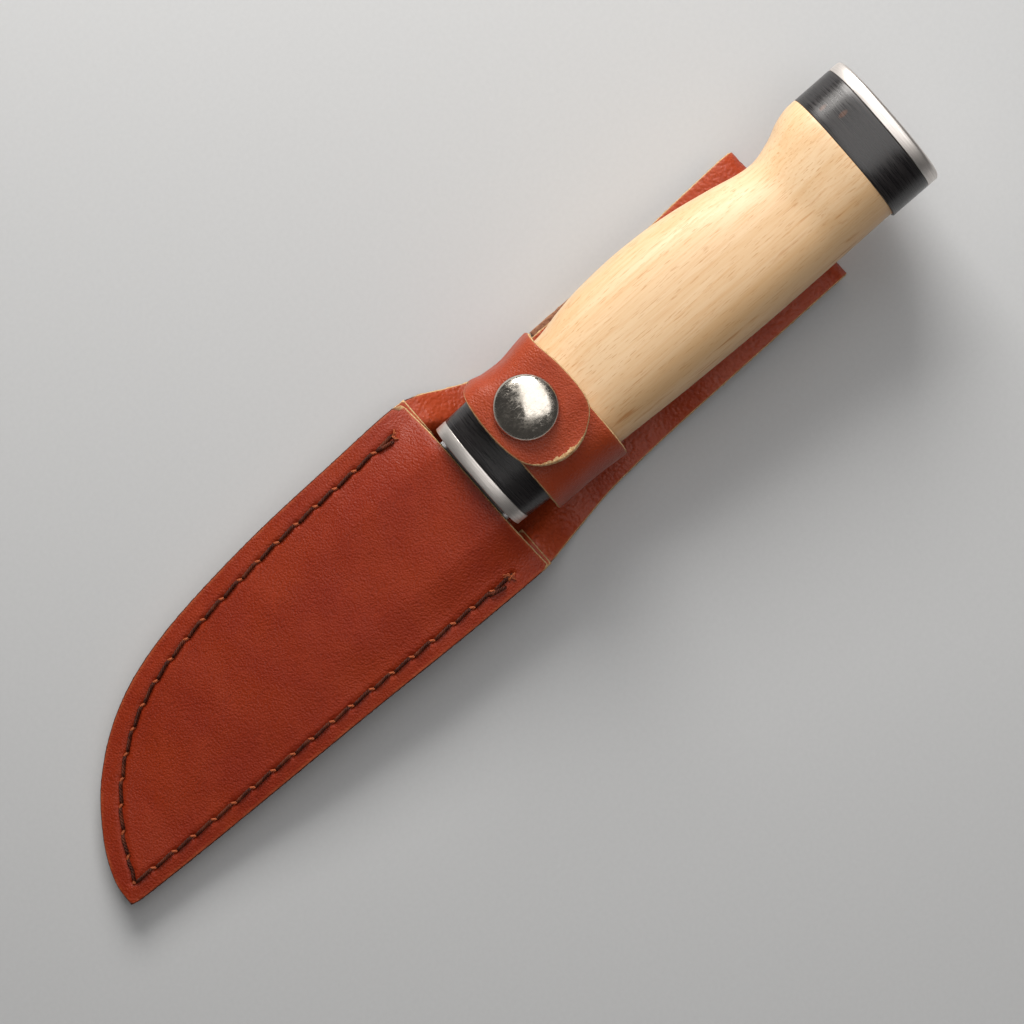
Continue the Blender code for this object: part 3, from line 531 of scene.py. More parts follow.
def leather(
    name, rings, bend, thickness, rows=(), spacing=PANEL_GRID, relief=None, raw=None, rough=0.05, fray=None
):
    """A leather piece cut to flat rings, the first outside and any other a hole.

    bend(flat, height) gives places, with height through the leather from its flesh side. Rows are lines
    of extra points. relief(flat) is how far the grain face sinks, raw(flat) how pale the cut edge is,
    from 0 to 1, rough its unevenness, and fray(flat) how far the grain is worn off from the edge.
    """
    points, within, gap_of = flat_points(rings, rows, spacing)
    edges = []
    for ring in rings:
        first = len(edges)
        edges += [(first + i, first + (i + 1) % len(ring)) for i in range(len(ring))]
    flat, _, triangles, _, _, _ = delaunay_2d_cdt([Vector(p) for p in points], edges, [], 0, 1e-4)
    flat = np.array(flat)
    triangles = np.array(triangles)
    triangles = triangles[within(flat[triangles].mean(axis=1))]
    used, triangles = np.unique(triangles, return_inverse=True)
    flat, triangles = flat[used], triangles.reshape(-1, 3)
    gap = gap_of(flat)
    count = len(flat)
    top = thickness - rim_drop(gap)
    low = rim_drop(gap)
    sink = relief(flat) if relief else np.zeros(count)
    patterns = [np.column_stack([flat, low]), np.column_stack([flat, top])]
    verts = [bend(flat, low), bend(flat, top - sink)]
    levels = [low / thickness, top / thickness]
    gaps = [gap, gap]
    faces = [(a, c, b) for a, b, c in triangles.tolist()]
    faces += [(a + count, b + count, c + count) for a, b, c in triangles.tolist()]
    directed = {(tri[k], tri[(k + 1) % 3]) for tri in triangles.tolist() for k in range(3)}
    border = [(a, b) for a, b in sorted(directed) if (b, a) not in directed]
    wall = np.array([a for a, _ in border])
    place_in_wall = {int(a): i for i, a in enumerate(wall)}
    outward = np.zeros((count, 2))
    for a, b in border:
        along = flat[b] - flat[a]
        normal = np.array([along[1], -along[0]]) / np.linalg.norm(along)
        outward[a] += normal
        outward[b] += normal
    outward = unit(outward[wall])
    columns = [{a: a for a in place_in_wall}]
    for k, share in enumerate(WALL_SHARES):
        height = low[wall] + (top[wall] - low[wall]) * share
        here = np.column_stack([flat[wall], height])
        swell = WALL_SWELL + rough * ripple(here, 1.1, 31 + k)
        first = 2 * count + k * len(wall)
        patterns.append(here)
        verts.append(bend(flat[wall] + outward * swell[:, None], height))
        levels.append(height / thickness)
        gaps.append(np.zeros(len(wall)))
        columns.append({a: first + i for a, i in place_in_wall.items()})
    columns.append({a: a + count for a in place_in_wall})
    for lower, upper in zip(columns, columns[1:]):
        faces += [(lower[a], lower[b], upper[b], upper[a]) for a, b in border]
    verts = np.vstack(verts)
    if volume_of(verts, faces) < 0:
        faces = [tuple(reversed(face)) for face in faces]
    piece = make_mesh(name, verts, faces, Matrix.Identity(4), sharp=180.0)
    patterns = np.vstack(patterns)
    piece.data.attributes.remove(piece.data.attributes["flat"])
    set_attribute(piece.data, "flat", patterns * MM)
    set_attribute(piece.data, "rim", np.concatenate(gaps))
    set_attribute(piece.data, "level", np.concatenate(levels))
    set_attribute(piece.data, "raw", raw(patterns[:, :2]) if raw else np.ones(len(patterns)))
    set_attribute(piece.data, "fray", fray(patterns[:, :2]) if fray else np.full(len(patterns), FRAY))
    return piece


def placed(points, place):
    """Millimetre points moved by a matrix, still in millimetres."""
    points = np.asarray(points, dtype=float)
    return points @ np.array(place.to_3x3()).T + np.array(place.translation)


def loft(name, rings, place, round_again=False):
    """A closed body through rings of equally many points; round_again joins the last ring to the first."""
    size = len(rings[0])
    verts = np.vstack(rings)
    faces = []
    pairs = list(zip(range(len(rings)), range(1, len(rings))))
    if round_again:
        pairs.append((len(rings) - 1, 0))
    for r, s in pairs:
        for i in range(size):
            j = (i + 1) % size
            faces.append((r * size + i, r * size + j, s * size + j, s * size + i))
    if not round_again:
        faces.append(tuple(reversed(range(size))))
        faces.append(tuple((len(rings) - 1) * size + i for i in range(size)))
    if volume_of(verts, faces) < 0:
        faces = [tuple(reversed(face)) for face in faces]
    return make_mesh(name, verts, faces, place, sharp=35.0)


def turned(name, outline, place):
    """A turned piece from (radius, height) points, listed anticlockwise with the axis on the left."""
    verts, rings = [], []
    for radius, height in outline:
        if radius == 0.0:
            rings.append([len(verts)] * TURN_SIDES)
            verts.append((0.0, 0.0, height))
            continue
        rings.append([len(verts) + i for i in range(TURN_SIDES)])
        for i in range(TURN_SIDES):
            angle = 2 * math.pi * i / TURN_SIDES
            verts.append((radius * math.cos(angle), radius * math.sin(angle), height))
    faces = []
    for lower, upper in zip(rings, rings[1:] + rings[:1]):
        for i in range(TURN_SIDES):
            j = (i + 1) % TURN_SIDES
            corners = list(dict.fromkeys((lower[i], lower[j], upper[j], upper[i])))
            if len(corners) > 2:
                faces.append(tuple(corners))
    return make_mesh(name, verts, faces, place, sharp=35.0)


def softened(outline, radius):
    """A turned outline with its corners off the axis cut back."""
    points = []
    for i, corner in enumerate(outline):
        before, after = outline[i - 1], outline[(i + 1) % len(outline)]
        corner = np.array(corner)
        if corner[0] == 0.0:
            points.append(tuple(corner))
            continue
        for other in (before, after):
            way = np.array(other) - corner
            reach = min(radius, np.linalg.norm(way) / 3)
            points.append(tuple(corner + way / np.linalg.norm(way) * reach))
    return points


def tube_mesh(paths, radius, sides):
    """Verts and faces of closed round tubes along paths."""
    verts, faces = [], []
    angles = np.linspace(0.0, 2 * math.pi, sides, endpoint=False)
    for path in paths:
        along = heading(path)
        across = np.where(np.abs(along[:, 2:]) < 0.95, (0.0, 0.0, 1.0), (1.0, 0.0, 0.0))
        side = unit(np.cross(along, across))
        up = np.cross(side, along)
        first = sum(len(v) for v in verts)
        ring = side[:, None] * np.cos(angles)[:, None] + up[:, None] * np.sin(angles)[:, None]
        verts.append((path[:, None] + radius * ring).reshape(-1, 3))
        for r in range(len(path) - 1):
            for i in range(sides):
                j = (i + 1) % sides
                a = first + r * sides
                faces.append((a + i, a + j, a + sides + j, a + sides + i))
        last = first + (len(path) - 1) * sides
        faces.append(tuple(first + i for i in reversed(range(sides))))
        faces.append(tuple(last + i for i in range(sides)))
    return np.vstack(verts), faces


def plies(path, up, radius=LAY):
    """Paths of the strands twisted together along a thread's path."""
    along = heading(path)
    side = unit(np.cross(along, up))
    lift = np.cross(side, along)
    run = run_of(path)
    strands = []
    for k in range(PLIES):
        turn = 2 * math.pi * (run / PLY_TURN + k / PLIES)
        strands.append(path + radius * (side * np.cos(turn)[:, None] + lift * np.sin(turn)[:, None]))
    return strands


def stitches(line, holes, height, sign=1.0, bury=STITCH_BURY, crown=0.1, slant=STITCH_SLANT):
    """Paths of the stitches of a seam: from hole to hole along a plan line, lying on height(flat)."""
    sideways = offset_sideways(line, 1.0) - line
    paths = []
    for start, end in zip(holes, holes[1:]):
        s = np.linspace(start + 0.15, end - 0.15, max(6, round((end - start) / THREAD_STEP)))
        across = slant * np.linspace(-1.0, 1.0, len(s))[:, None]
        flat = along_path(line, s) + across * along_path(line, s, sideways)
        ends = np.minimum(s - s[0], s[-1] - s)
        dip = -bury + (bury + crown) * smooth(ends / 1.1)
        paths.append(np.column_stack([flat, height(flat) + sign * dip]))
    return paths


def crossings(line, holes, height):
    """Short loops of thread that cross each hole, between one stitch's end and the next one's start."""
    spans = np.ravel([(hole - 0.75, hole + 0.85) for hole in holes[1:-1]])
    bits = stitches(line, spans, height, bury=0.35, slant=0.0)[::2]
    sideways = offset_sideways(line, 1.0) - line
    for hole, bit in zip(holes[1:-1], bits):
        across = CROSSING * np.linspace(1.0, -1.0, len(bit))[:, None]
        bit[:, :2] += across * along_path(line, hole, sideways)
    return bits


def thread_piece(name, paths, up=1.0, painted_glint=(), loose=()):
    """A seam's thread as twisted strands on the sheath, with loops at its holes and loose ends that carry a
    painted coppery highlight.
    """
    verts, faces, glint_shares = np.zeros((0, 3)), [], []
    # the loops at the holes and the loose ends get a share of 1 for the painted coppery highlight
    for group, size, glint in ((paths, 1.0, 0.0), (painted_glint, GLINT_LOOP_SIZE, 1.0), (loose, LOOSE_SIZE, 1.0)):
        strands = [strand for path in group for strand in plies(path, (0.0, 0.0, up), size * LAY)]
        if strands:
            more, extra = tube_mesh(strands, size * PLY, PLY_SIDES)
            faces += [tuple(len(verts) + i for i in face) for face in extra]
            verts = np.vstack([verts, more])
            glint_shares += [glint] * len(more)
    piece = make_mesh(name, verts, faces, DATUM, sharp=60.0)
    set_attribute(piece.data, "painted_glint", glint_shares)
    finish_piece(piece, MATERIALS["thread"], "seam_thread", "sheath", name)


# ---------------------------------------------------------------- materials


class Graph:
    """Short calls to build one material's nodes."""

    def __init__(self, name):
        self.material = bpy.data.materials.new(name)
        self.material.use_nodes = True
        self.tree = self.material.node_tree
        self.shader = self.tree.nodes["Principled BSDF"]

    def add(self, kind, inputs=None, output=0, **settings):
        """A node with some inputs set or linked; gives one of its outputs."""
        node = self.tree.nodes.new(kind)
        for key, value in settings.items():
            setattr(node, key, value)
        for key, value in (inputs or {}).items():
            self.feed(node.inputs[key], value)
        return node.outputs[output]

    def feed(self, socket, value):
        if isinstance(value, bpy.types.NodeSocket):
            self.tree.links.new(value, socket)
        elif isinstance(value, tuple) and len(value) == 3 and socket.type == "RGBA":
            socket.default_value = (*value, 1.0)
        else:
            socket.default_value = value

    def attribute(self, name, output="Vector"):
        node = self.tree.nodes.new("ShaderNodeAttribute")
        node.attribute_name = name
        return node.outputs[output]

    def stretched(self, vector, scale, shift=(0.0, 0.0, 0.0)):
        """A vector scaled along each axis."""
        return self.add("ShaderNodeMapping", {"Vector": vector, "Scale": scale, "Location": shift})

    def noise(self, vector, scale, detail=3.0, roughness=0.55, distortion=0.0):
        inputs = {
            "Vector": vector, "Scale": scale, "Detail": detail, "Roughness": roughness,
            "Distortion": distortion,
        }
        return self.add("ShaderNodeTexNoise", inputs)

    def cells(self, vector, scale, feature="F1"):
        return self.add("ShaderNodeTexVoronoi", {"Vector": vector, "Scale": scale}, feature=feature)

    def part(self, vector, axis):
        """A vector's x, y or z as axis 0, 1 or 2."""
        return self.add("ShaderNodeSeparateXYZ", {0: vector}, output=axis)

    def math(self, operation, a, b=0.0):
        return self.add("ShaderNodeMath", {0: a, 1: b}, operation=operation)

    def times(self, a, b):
        return self.math("MULTIPLY", a, b)

    def between(self, value, low, high, to_low=0.0, to_high=1.0):
        """A value eased from one range to another."""
        inputs = {"Value": value, "From Min": low, "From Max": high, "To Min": to_low, "To Max": to_high}
        return self.add("ShaderNodeMapRange", inputs, interpolation_type="SMOOTHSTEP")

    def mix(self, share, a, b):
        node = self.tree.nodes.new("ShaderNodeMix")
        node.data_type = "RGBA"
        for socket, value in ((node.inputs[0], share), (node.inputs[6], a), (node.inputs[7], b)):
            self.feed(socket, value)
        return node.outputs[2]

    def layered(self, colour, *layers):
        """A colour under others, each laid on where a field climbs from low to high, up to a share."""
        for field, low, high, share, tone in layers:
            colour = self.mix(self.between(field, low, high, 0.0, share), colour, tone)
        return colour

    def bump(self, height, distance, strength=1.0, normal=None):
        inputs = {"Height": height, "Distance": distance * MM, "Strength": strength}
        if normal is not None:
            inputs["Normal"] = normal
        return self.add("ShaderNodeBump", inputs)

    def finish(self, **inputs):
        """Sets the shader's inputs, with spaces in their names written as underscores."""
        for key, value in inputs.items():
            self.feed(self.shader.inputs[key.replace("_", " ")], value)
        return self.material


def leather_material(name, grain, grain_depth, tones, sheen):
    """Cognac leather: pebbled grain, mottled dye, worn rims, pale or burnished edges, fuzzy flesh side."""
    g = Graph(name)
    flat = g.attribute("flat")
    rim = g.attribute("rim", "Fac")
    level = g.attribute("level", "Fac")
    raw = g.attribute("raw", "Fac")
    broad = g.noise(flat, 55.0, 3.0, 0.6)
    patchy = g.noise(flat, 230.0, 4.0, 0.65, 0.6)
    fine = g.noise(flat, 3400.0 / grain, 3.0, 0.65)
    pebbles = g.cells(flat, 2300.0 / grain, "SMOOTH_F1")
    colour = g.layered(
        tones[0],
        (broad, 0.3, 0.7, 1.0, tones[1]),
        (patchy, 0.5, 0.75, 0.35, (0.35, 0.036, 0.009)),
        (pebbles, 0.5, 0.9, 0.3, (0.12, 0.01, 0.005)),
        (fine, 0.56, 0.78, 0.2, (0.4, 0.075, 0.025)),
    )
    worn = g.times(g.between(rim, 1.1, 0.1), g.between(patchy, 0.35, 0.62, 0.15, 0.7))
    colour = g.mix(worn, colour, (0.42, 0.09, 0.03))
    fibre = g.noise(flat, 1500.0, 5.0, 0.75)
    pale = g.mix(g.between(fibre, 0.35, 0.7), (0.5, 0.27, 0.11), (0.78, 0.56, 0.31))
    dark = g.mix(g.between(fibre, 0.35, 0.7), (0.06, 0.016, 0.01), (0.15, 0.04, 0.022))
    edge = g.mix(raw, dark, pale)
    suede = g.mix(g.between(fibre, 0.3, 0.7), (0.2, 0.075, 0.04), (0.4, 0.2, 0.12))
    torn = g.times(g.attribute("fray", "Fac"), g.between(patchy, 0.3, 0.7, 0.3, 1.7))
    on_rim = g.math("SUBTRACT", 1.0, g.between(g.math("SUBTRACT", rim, torn), 0.0, 0.12))
    on_wall = g.math("MAXIMUM", g.between(level, 0.985, 0.92), on_rim)
    on_flesh = g.between(level, 0.42, 0.2)
    colour = g.mix(on_wall, colour, edge)
    colour = g.mix(on_flesh, colour, suede)
    plain = g.math("MAXIMUM", on_wall, on_flesh)
    gloss = g.between(patchy, 0.3, 0.7, 0.36, 0.47)
    rough = g.add("ShaderNodeMix", {0: plain, 2: gloss, 3: 0.9}, data_type="FLOAT")
    height = g.math("ADD", g.times(pebbles, -0.9), g.times(fine, 0.5))
    normal = g.bump(g.noise(flat, 520.0 / grain, 4.0, 0.6), 0.12, 0.3)
    normal = g.bump(height, grain_depth, 1.0, normal)
    normal = g.bump(g.times(fibre, plain), 0.3, 0.8, normal)
    return g.finish(Base_Color=colour, Roughness=rough, Normal=normal, Specular_IOR_Level=sheen)


def thread_material():
    """Waxed dark brown thread; its loops at the holes and its loose ends carry a painted coppery highlight.
    """
    g = Graph("waxed_thread")
    flat = g.attribute("flat")
    fibre = g.noise(flat, 3800.0, 3.0, 0.7)
    tone = g.noise(flat, 260.0, 2.0)
    colour = g.layered(
        (0.016, 0.0035, 0.002),
        (fibre, 0.35, 0.7, 1.0, (0.11, 0.021, 0.008)),
        (tone, 0.48, 0.66, 0.6, (0.15, 0.034, 0.014)),
    )
    # painted highlight: coppery colour on the loops at the holes and on the loose ends
    colour = g.mix(g.attribute("painted_glint", "Fac"), colour, (0.4, 0.1, 0.038))
    normal = g.bump(fibre, 0.05, 0.8)
    return g.finish(Base_Color=colour, Roughness=0.55, Normal=normal, Specular_IOR_Level=0.2)


def wood_material():
    """Pale maple: fine streaks along the grip, short pores, a few orange-brown flecks on its spine side,
    and that side darker and more orange, partly its own streaks and partly painted shade.
    """
    g = Graph("handle_wood")
    flat = g.attribute("flat")
    bands = g.noise(g.stretched(flat, (0.035, 1.0, 1.0)), 230.0, 4.0, 0.6, 0.8)
    streaks = g.noise(g.stretched(flat, (0.02, 1.0, 1.0)), 1900.0, 4.0, 0.65)
    pores = g.noise(g.stretched(flat, (0.07, 1.0, 1.0)), 3500.0, 2.0, 0.5)
    flecks = g.noise(g.stretched(flat, (0.06, 1.0, 1.0), (0.3, 0.1, 0.0)), 720.0, 3.0, 0.6)
    colour = g.layered(
        (0.86, 0.63, 0.39),
        (bands, 0.32, 0.68, 1.0, (0.79, 0.53, 0.29)),
        (streaks, 0.45, 0.72, 0.45, (0.7, 0.37, 0.15)),
        (pores, 0.6, 0.7, 0.62, (0.58, 0.26, 0.09)),
    )
    # partly painted shade: the spine side, which lies in shade, is darkened towards orange, partly for its
    # own streaks; the flecks are kept to this side
    shaded_side = g.between(g.part(flat, 1), 0.0, -0.012, 0.1, 1.0)
    colour = g.mix(g.times(shaded_side, 0.4), colour, (0.7, 0.4, 0.17))
    flecked = g.times(g.between(flecks, 0.59, 0.69, 0.0, 0.8), shaded_side)
    colour = g.mix(flecked, colour, (0.55, 0.22, 0.06))
    rough = g.between(streaks, 0.3, 0.7, 0.36, 0.5)
    normal = g.bump(streaks, 0.03, 0.35)
    normal = g.bump(g.between(pores, 0.6, 0.75, 1.0, 0.0), 0.05, 0.5, normal)
    return g.finish(Base_Color=colour, Roughness=rough, Normal=normal, Coat_Weight=0.1, Coat_Roughness=0.3)


def ebony_material():
    """Black spacer, sanded round the grip, with rare brown flecks."""
    g = Graph("black_spacer")
    flat = g.attribute("flat")
    lines = g.noise(g.stretched(flat, (1.0, 0.03, 0.03)), 4200.0, 4.0, 0.7)
    flecks = g.cells(g.stretched(flat, (0.5, 1.0, 1.0), (0.31, 0.0, 0.0)), 170.0)
    colour = g.layered(
        (0.006, 0.005, 0.006),
        (lines, 0.35, 0.75, 1.0, (0.03, 0.026, 0.026)),
        (flecks, 0.14, 0.07, 0.6, (0.12, 0.045, 0.02)),
    )
    rough = g.between(lines, 0.3, 0.7, 0.24, 0.38)
    normal = g.bump(lines, 0.02, 0.6)
    return g.finish(Base_Color=colour, Roughness=rough, Normal=normal, Specular_IOR_Level=0.7)


def brushed_steel(g, flat, lines_across, tone, rough_low, rough_high):
    """Colour, roughness and normal of steel with fine lines, which run where lines_across is small."""
    lines = g.noise(g.stretched(flat, lines_across), 3600.0, 3.0, 0.6)
    haze = g.noise(g.stretched(flat, (1.0, 0.25, 0.25)), 210.0, 3.0, 0.6)
    duller = tuple(0.8 * c for c in tone)
    colour = g.layered(tone, (lines, 0.3, 0.7, 1.0, duller), (haze, 0.45, 0.75, 0.25, duller))
    return colour, g.between(lines, 0.3, 0.7, rough_low, rough_high), g.bump(lines, 0.004, 0.4)


def fitting_material():
    """Steel brushed round the grip."""
    g = Graph("fitting_steel")
    flat = g.attribute("flat")
    colour, rough, normal = brushed_steel(g, flat, (1.0, 0.03, 0.03), (0.84, 0.79, 0.75), 0.34, 0.46)
    g.finish(Base_Color=colour, Metallic=1.0, Roughness=rough, Normal=normal)
    round_grip = g.add("ShaderNodeTangent", direction_type="RADIAL", axis="X")
    return g.finish(Tangent=round_grip, Anisotropic=0.45)


def blade_material():
    """Steel ground across the blade, with painted shade on the root of its faces, where the gap between the
    sheath's mouth and the bolster lies in shadow.
    """
    g = Graph("blade_steel")
    flat = g.attribute("flat")
    colour, rough, normal = brushed_steel(g, flat, (1.0, 0.05, 0.05), (0.8, 0.8, 0.81), 0.26, 0.36)
    spine, edge = BLADE_SPINE_Y * MM, float(blade_edge(BLADE_SHOULDER)) * MM
    inner, outer = ((BLADE_SHOULDER - reach) * MM for reach in ROOT_SHADE)
    near = g.between(g.part(flat, 0), outer, inner)
    across = g.math("SUBTRACT", g.part(flat, 1), (spine + edge) / 2)
    within = g.between(g.math("ABSOLUTE", across), *(share * (edge - spine) for share in ROOT_SHADE_REACH))
    # painted shade: the blade's root is darkened where the gap between the sheath's mouth and the bolster
    # is in shadow
    colour = g.mix(g.times(near, within), colour, (0.05, 0.045, 0.042))
    return g.finish(Base_Color=colour, Metallic=0.8, Roughness=rough, Normal=normal)


def nickel_material():
    """Polished nickel with a cloud of fine scratches."""
    g = Graph("snap_nickel")
    flat = g.attribute("flat")
    haze = g.noise(flat, 420.0, 5.0, 0.75)
    aslant = g.add("ShaderNodeMapping", {"Vector": flat, "Rotation": (0.0, 0.0, 0.9)})
    ways = [g.noise(g.stretched(way, (0.1, 1.0, 1.0)), 3600.0, 3.0, 0.6, 0.8) for way in (flat, aslant)]
    scratches = g.math("MAXIMUM", *ways)
    colour = g.layered((0.68, 0.63, 0.56), (haze, 0.4, 0.7, 0.5, (0.52, 0.47, 0.4)))
    rough = g.between(g.mix(0.5, haze, scratches), 0.4, 0.66, 0.09, 0.36)
    normal = g.bump(g.between(scratches, 0.6, 0.72), 0.01, 0.5)
    return g.finish(Base_Color=colour, Metallic=1.0, Roughness=rough, Normal=normal)


def floor_material():
    """Pale grey, a little uneven."""
    g = Graph("pale_floor")
    tone = g.noise(g.add("ShaderNodeTexCoord", output=3), 900.0, 3.0)
    colour = g.mix(tone, (0.5, 0.51, 0.52), (0.54, 0.55, 0.56))
    return g.finish(Base_Color=colour, Roughness=0.85)


PANEL_TONES = ((0.285, 0.029, 0.0055), (0.245, 0.021, 0.0055))
STRAP_TONES = ((0.39, 0.056, 0.014), (0.34, 0.042, 0.011))
MATERIALS = {
    "panel": leather_material("sheath_leather", 1.0, 0.14, PANEL_TONES, 0.24),
    "coarse": leather_material("back_leather", 1.9, 0.26, STRAP_TONES, 0.34),
    "strap": leather_material("strap_leather", 0.9, 0.13, STRAP_TONES, 0.36),
    "welt": leather_material("welt_leather", 1.0, 0.09, PANEL_TONES, 0.24),
    "thread": thread_material(),
    "wood": wood_material(),
    "ebony": ebony_material(),
    "steel": fitting_material(),
    "blade": blade_material(),
    "nickel": nickel_material(),
}


# ---------------------------------------------------------------- knife


def section(station, inset=0.0):
    """Outline of the handle across the knife at a station, shrunk by inset."""
    belly, spine = handle_belly(station), handle_spine(station)
    angles = np.linspace(0.0, 2 * math.pi, SECTION_SIDES, endpoint=False)
    c, s = np.cos(angles), np.sin(angles)
    y = ((belly + spine) / 2 - inset) * np.sign(c) * np.abs(c) ** (2 / SECTION_POWER)
    z = (handle_thick(station) - inset) * np.sign(s) * np.abs(s) ** (2 / SECTION_POWER)
    return np.column_stack([np.full(len(y), station), (belly - spine) / 2 + y, z])


def bar(station, half_y, half_z, power=8.0, sides=SECTION_SIDES, shift=0.0):
    """Outline of the tang or of its hole at a station, from a slot to a circle as power falls to 2."""
    angles = 2 * math.pi * (np.arange(sides) + shift) / sides
    c, s = np.cos(angles), np.sin(angles)
    reach = (np.abs(c / half_y) ** power + np.abs(s / half_z) ** power) ** (-1 / power)
    return np.column_stack([np.full(sides, station), reach * c, reach * s])


def fillet(end, radius, sign):
    """Stations and insets round an end's edge, from the end face inwards."""
    turns = np.linspace(0.0, math.pi / 2, FILLET_STEPS)
    return [(end + sign * radius * (1 - math.cos(t)), radius * (1 - math.sin(t))) for t in turns]


def handle_piece(name, span, fillets, holes, material, slot):
    """A length of the handle with rounded ends, bored for the tang."""
    first, last = span
    start, end = fillet(first, fillets[0], 1.0), fillet(last, fillets[1], -1.0)
    inner = np.arange(first + fillets[0] + HANDLE_STEP, last - fillets[1] - HANDLE_STEP / 2, HANDLE_STEP)
    stops = start + [(s, 0.0) for s in inner] + end[::-1]
    rings = [section(s, inset) for s, inset in stops]
    rings += [bar(last, *holes[1]), bar(first, *holes[0])]
    piece = loft(name, rings, KNIFE, round_again=True)
    finish_piece(piece, material, slot, "knife", name)


def make_handle():
    """The grip's five pieces from its front to its butt, with a fine line at each joint."""
    slot = tuple(half + TANG_ROOM for half in TANG_HALF)
    round_hole = (ROD_RADIUS + TANG_ROOM, ROD_RADIUS + TANG_ROOM, 2.0)
    nut_hole = (NUT_RADIUS + NUT_ROOM, NUT_RADIUS + NUT_ROOM, 2.0)
    firsts = [HANDLE_FRONT] + [joint + JOINT_LINE for joint in JOINTS]
    lasts = [joint - JOINT_LINE for joint in JOINTS] + [HANDLE_BACK]
    parts = (
        ("front_bolster", (0.15, 0.12), (slot, slot), "steel", "fitting_steel"),
        ("front_spacer", (0.12, 0.1), (slot, slot), "ebony", "black_spacer"),
        ("handle_body", (0.1, 0.1), (slot, round_hole), "wood", "handle_wood"),
        ("rear_spacer", (0.12, 0.12), (round_hole, round_hole), "ebony", "black_spacer"),
        ("butt_cap", (0.15, 0.9), (nut_hole, nut_hole), "steel", "fitting_steel"),
    )
    for span, (name, fillets, holes, material, mark) in zip(zip(firsts, lasts), parts):
        handle_piece(name, span, fillets, holes, MATERIALS[material], mark)


def blade_ring(station):
    """Points across the blade: rounded spine, flats, bevels and the edge's own small bevel."""
    edge = float(blade_edge(station))
    half = BLADE_THICKNESS / 2 * float(blade_taper(station))
    ground = float(smooth((BLADE_SHOULDER - RICASSO - station) / RICASSO_EASE))
    stops = [
        (1.0, half + (EDGE_HALF - half) * ground),
        (MICRO_LINE, half + (MICRO_HALF - half) * ground),
        (0.8, half + (MICRO_HALF + 0.32 * (half - MICRO_HALF) - half) * ground),
        (GRIND_LINE, half),
        (0.2, half),
        (0.03, half),
        (0.008, 0.86 * half),
        (0.0, 0.55 * half),
    ]
    upper = [(BLADE_SPINE_Y + w * (edge - BLADE_SPINE_Y), z) for w, z in stops]
    ring = upper + [(y, -z) for y, z in reversed(upper)]
    return np.array([(station, y, z) for y, z in ring])


def make_blade():
    """The blade with its tang, which ends in a threaded rod."""
    stations = np.linspace(BLADE_TIP_X, BLADE_SHOULDER, BLADE_STATIONS)
    rings = [blade_ring(s) for s in stations]
    sides = len(rings[0])
    rings += [bar(s, *TANG_HALF, TANG_POWER, sides, 0.5) for s in (BLADE_SHOULDER, TANG_END)]
    for k, station in enumerate(np.arange(ROD_START, ROD_END, THREAD_PITCH / 2)):
        radius = ROD_RADIUS - (k % 2) * THREAD_DEPTH
        rings.append(bar(station, radius, radius, 2.0, sides, 0.5))
    piece = loft("blade", rings, KNIFE)
    finish_piece(piece, MATERIALS["blade"], "blade_steel", "knife", "blade")


def make_tang_nut():
    """Round slotted nut sunk in the butt cap, domed a little round its slot."""
    base, bore_radius = HANDLE_BACK - NUT_DEPTH, ROD_RADIUS + NUT_THREAD_ROOM
    outline = [
        (bore_radius, base), (NUT_RADIUS, base), (NUT_RADIUS, HANDLE_BACK - 0.25),
        (NUT_RADIUS * 0.8, HANDLE_BACK - 0.12), (bore_radius, HANDLE_BACK - 0.1),
    ]
    along_knife = KNIFE @ Matrix.Rotation(math.pi / 2, 4, "Y")
    piece = turned("tang_nut", softened(outline, 0.15), along_knife)
    bpy.ops.mesh.primitive_cube_add(size=1.0)
    cutter = bpy.context.object
    cutter.matrix_world = (
        Matrix.Scale(MM, 4) @ KNIFE @ Matrix.Translation((HANDLE_BACK, 0.0, 0.0))
        @ Matrix.Diagonal((*NUT_SLOT, 1.0))
    )
    slot_cut = piece.modifiers.new("slot", "BOOLEAN")
    slot_cut.operation = "DIFFERENCE"
    slot_cut.solver = "EXACT"
    slot_cut.object = cutter
    bpy.context.view_layer.objects.active = piece
    bpy.ops.object.modifier_apply(modifier=slot_cut.name)
    bpy.data.objects.remove(cutter)
    finish_piece(piece, MATERIALS["steel"], "fitting_steel", "knife", "tang_nut")


# ---------------------------------------------------------------- sheath


def seam_runs():
    """Line of the stitches, from the mouth's belly side round the tip, and its holes' distances on it."""
    belly = offset_sideways(BELLY_CURVE, -BELLY_SEAM)
    spine = offset_sideways(SPINE_CURVE, SPINE_SEAM)
    belly = belly[(belly[:, 0] < SEAM_END_X) & (belly[:, 1] > SEAM_CORNER[1] + 2.0)]
    spine = spine[(spine[:, 0] < SEAM_END_X) & (spine[:, 0] > SEAM_CORNER[0] + 2.0)]
    sides = [resampled(np.vstack([belly[::-1], [SEAM_CORNER]]), 0.4)]
    sides.append(resampled(np.vstack([[SEAM_CORNER], spine]), 0.4))
    first, second = (run_of(side)[-1] for side in sides)
    holes = np.linspace(0.0, first, round(first / STITCH) + 1)
    holes = np.concatenate([holes, first + np.linspace(0.0, second, round(second / STITCH) + 1)[1:]])
    holes[1:-1] += np.random.default_rng(5).uniform(-STITCH_JITTER, STITCH_JITTER, len(holes) - 2)
    return np.vstack([sides[0], sides[1][1:]]), holes


SEAM, SEAM_HOLES = seam_runs()


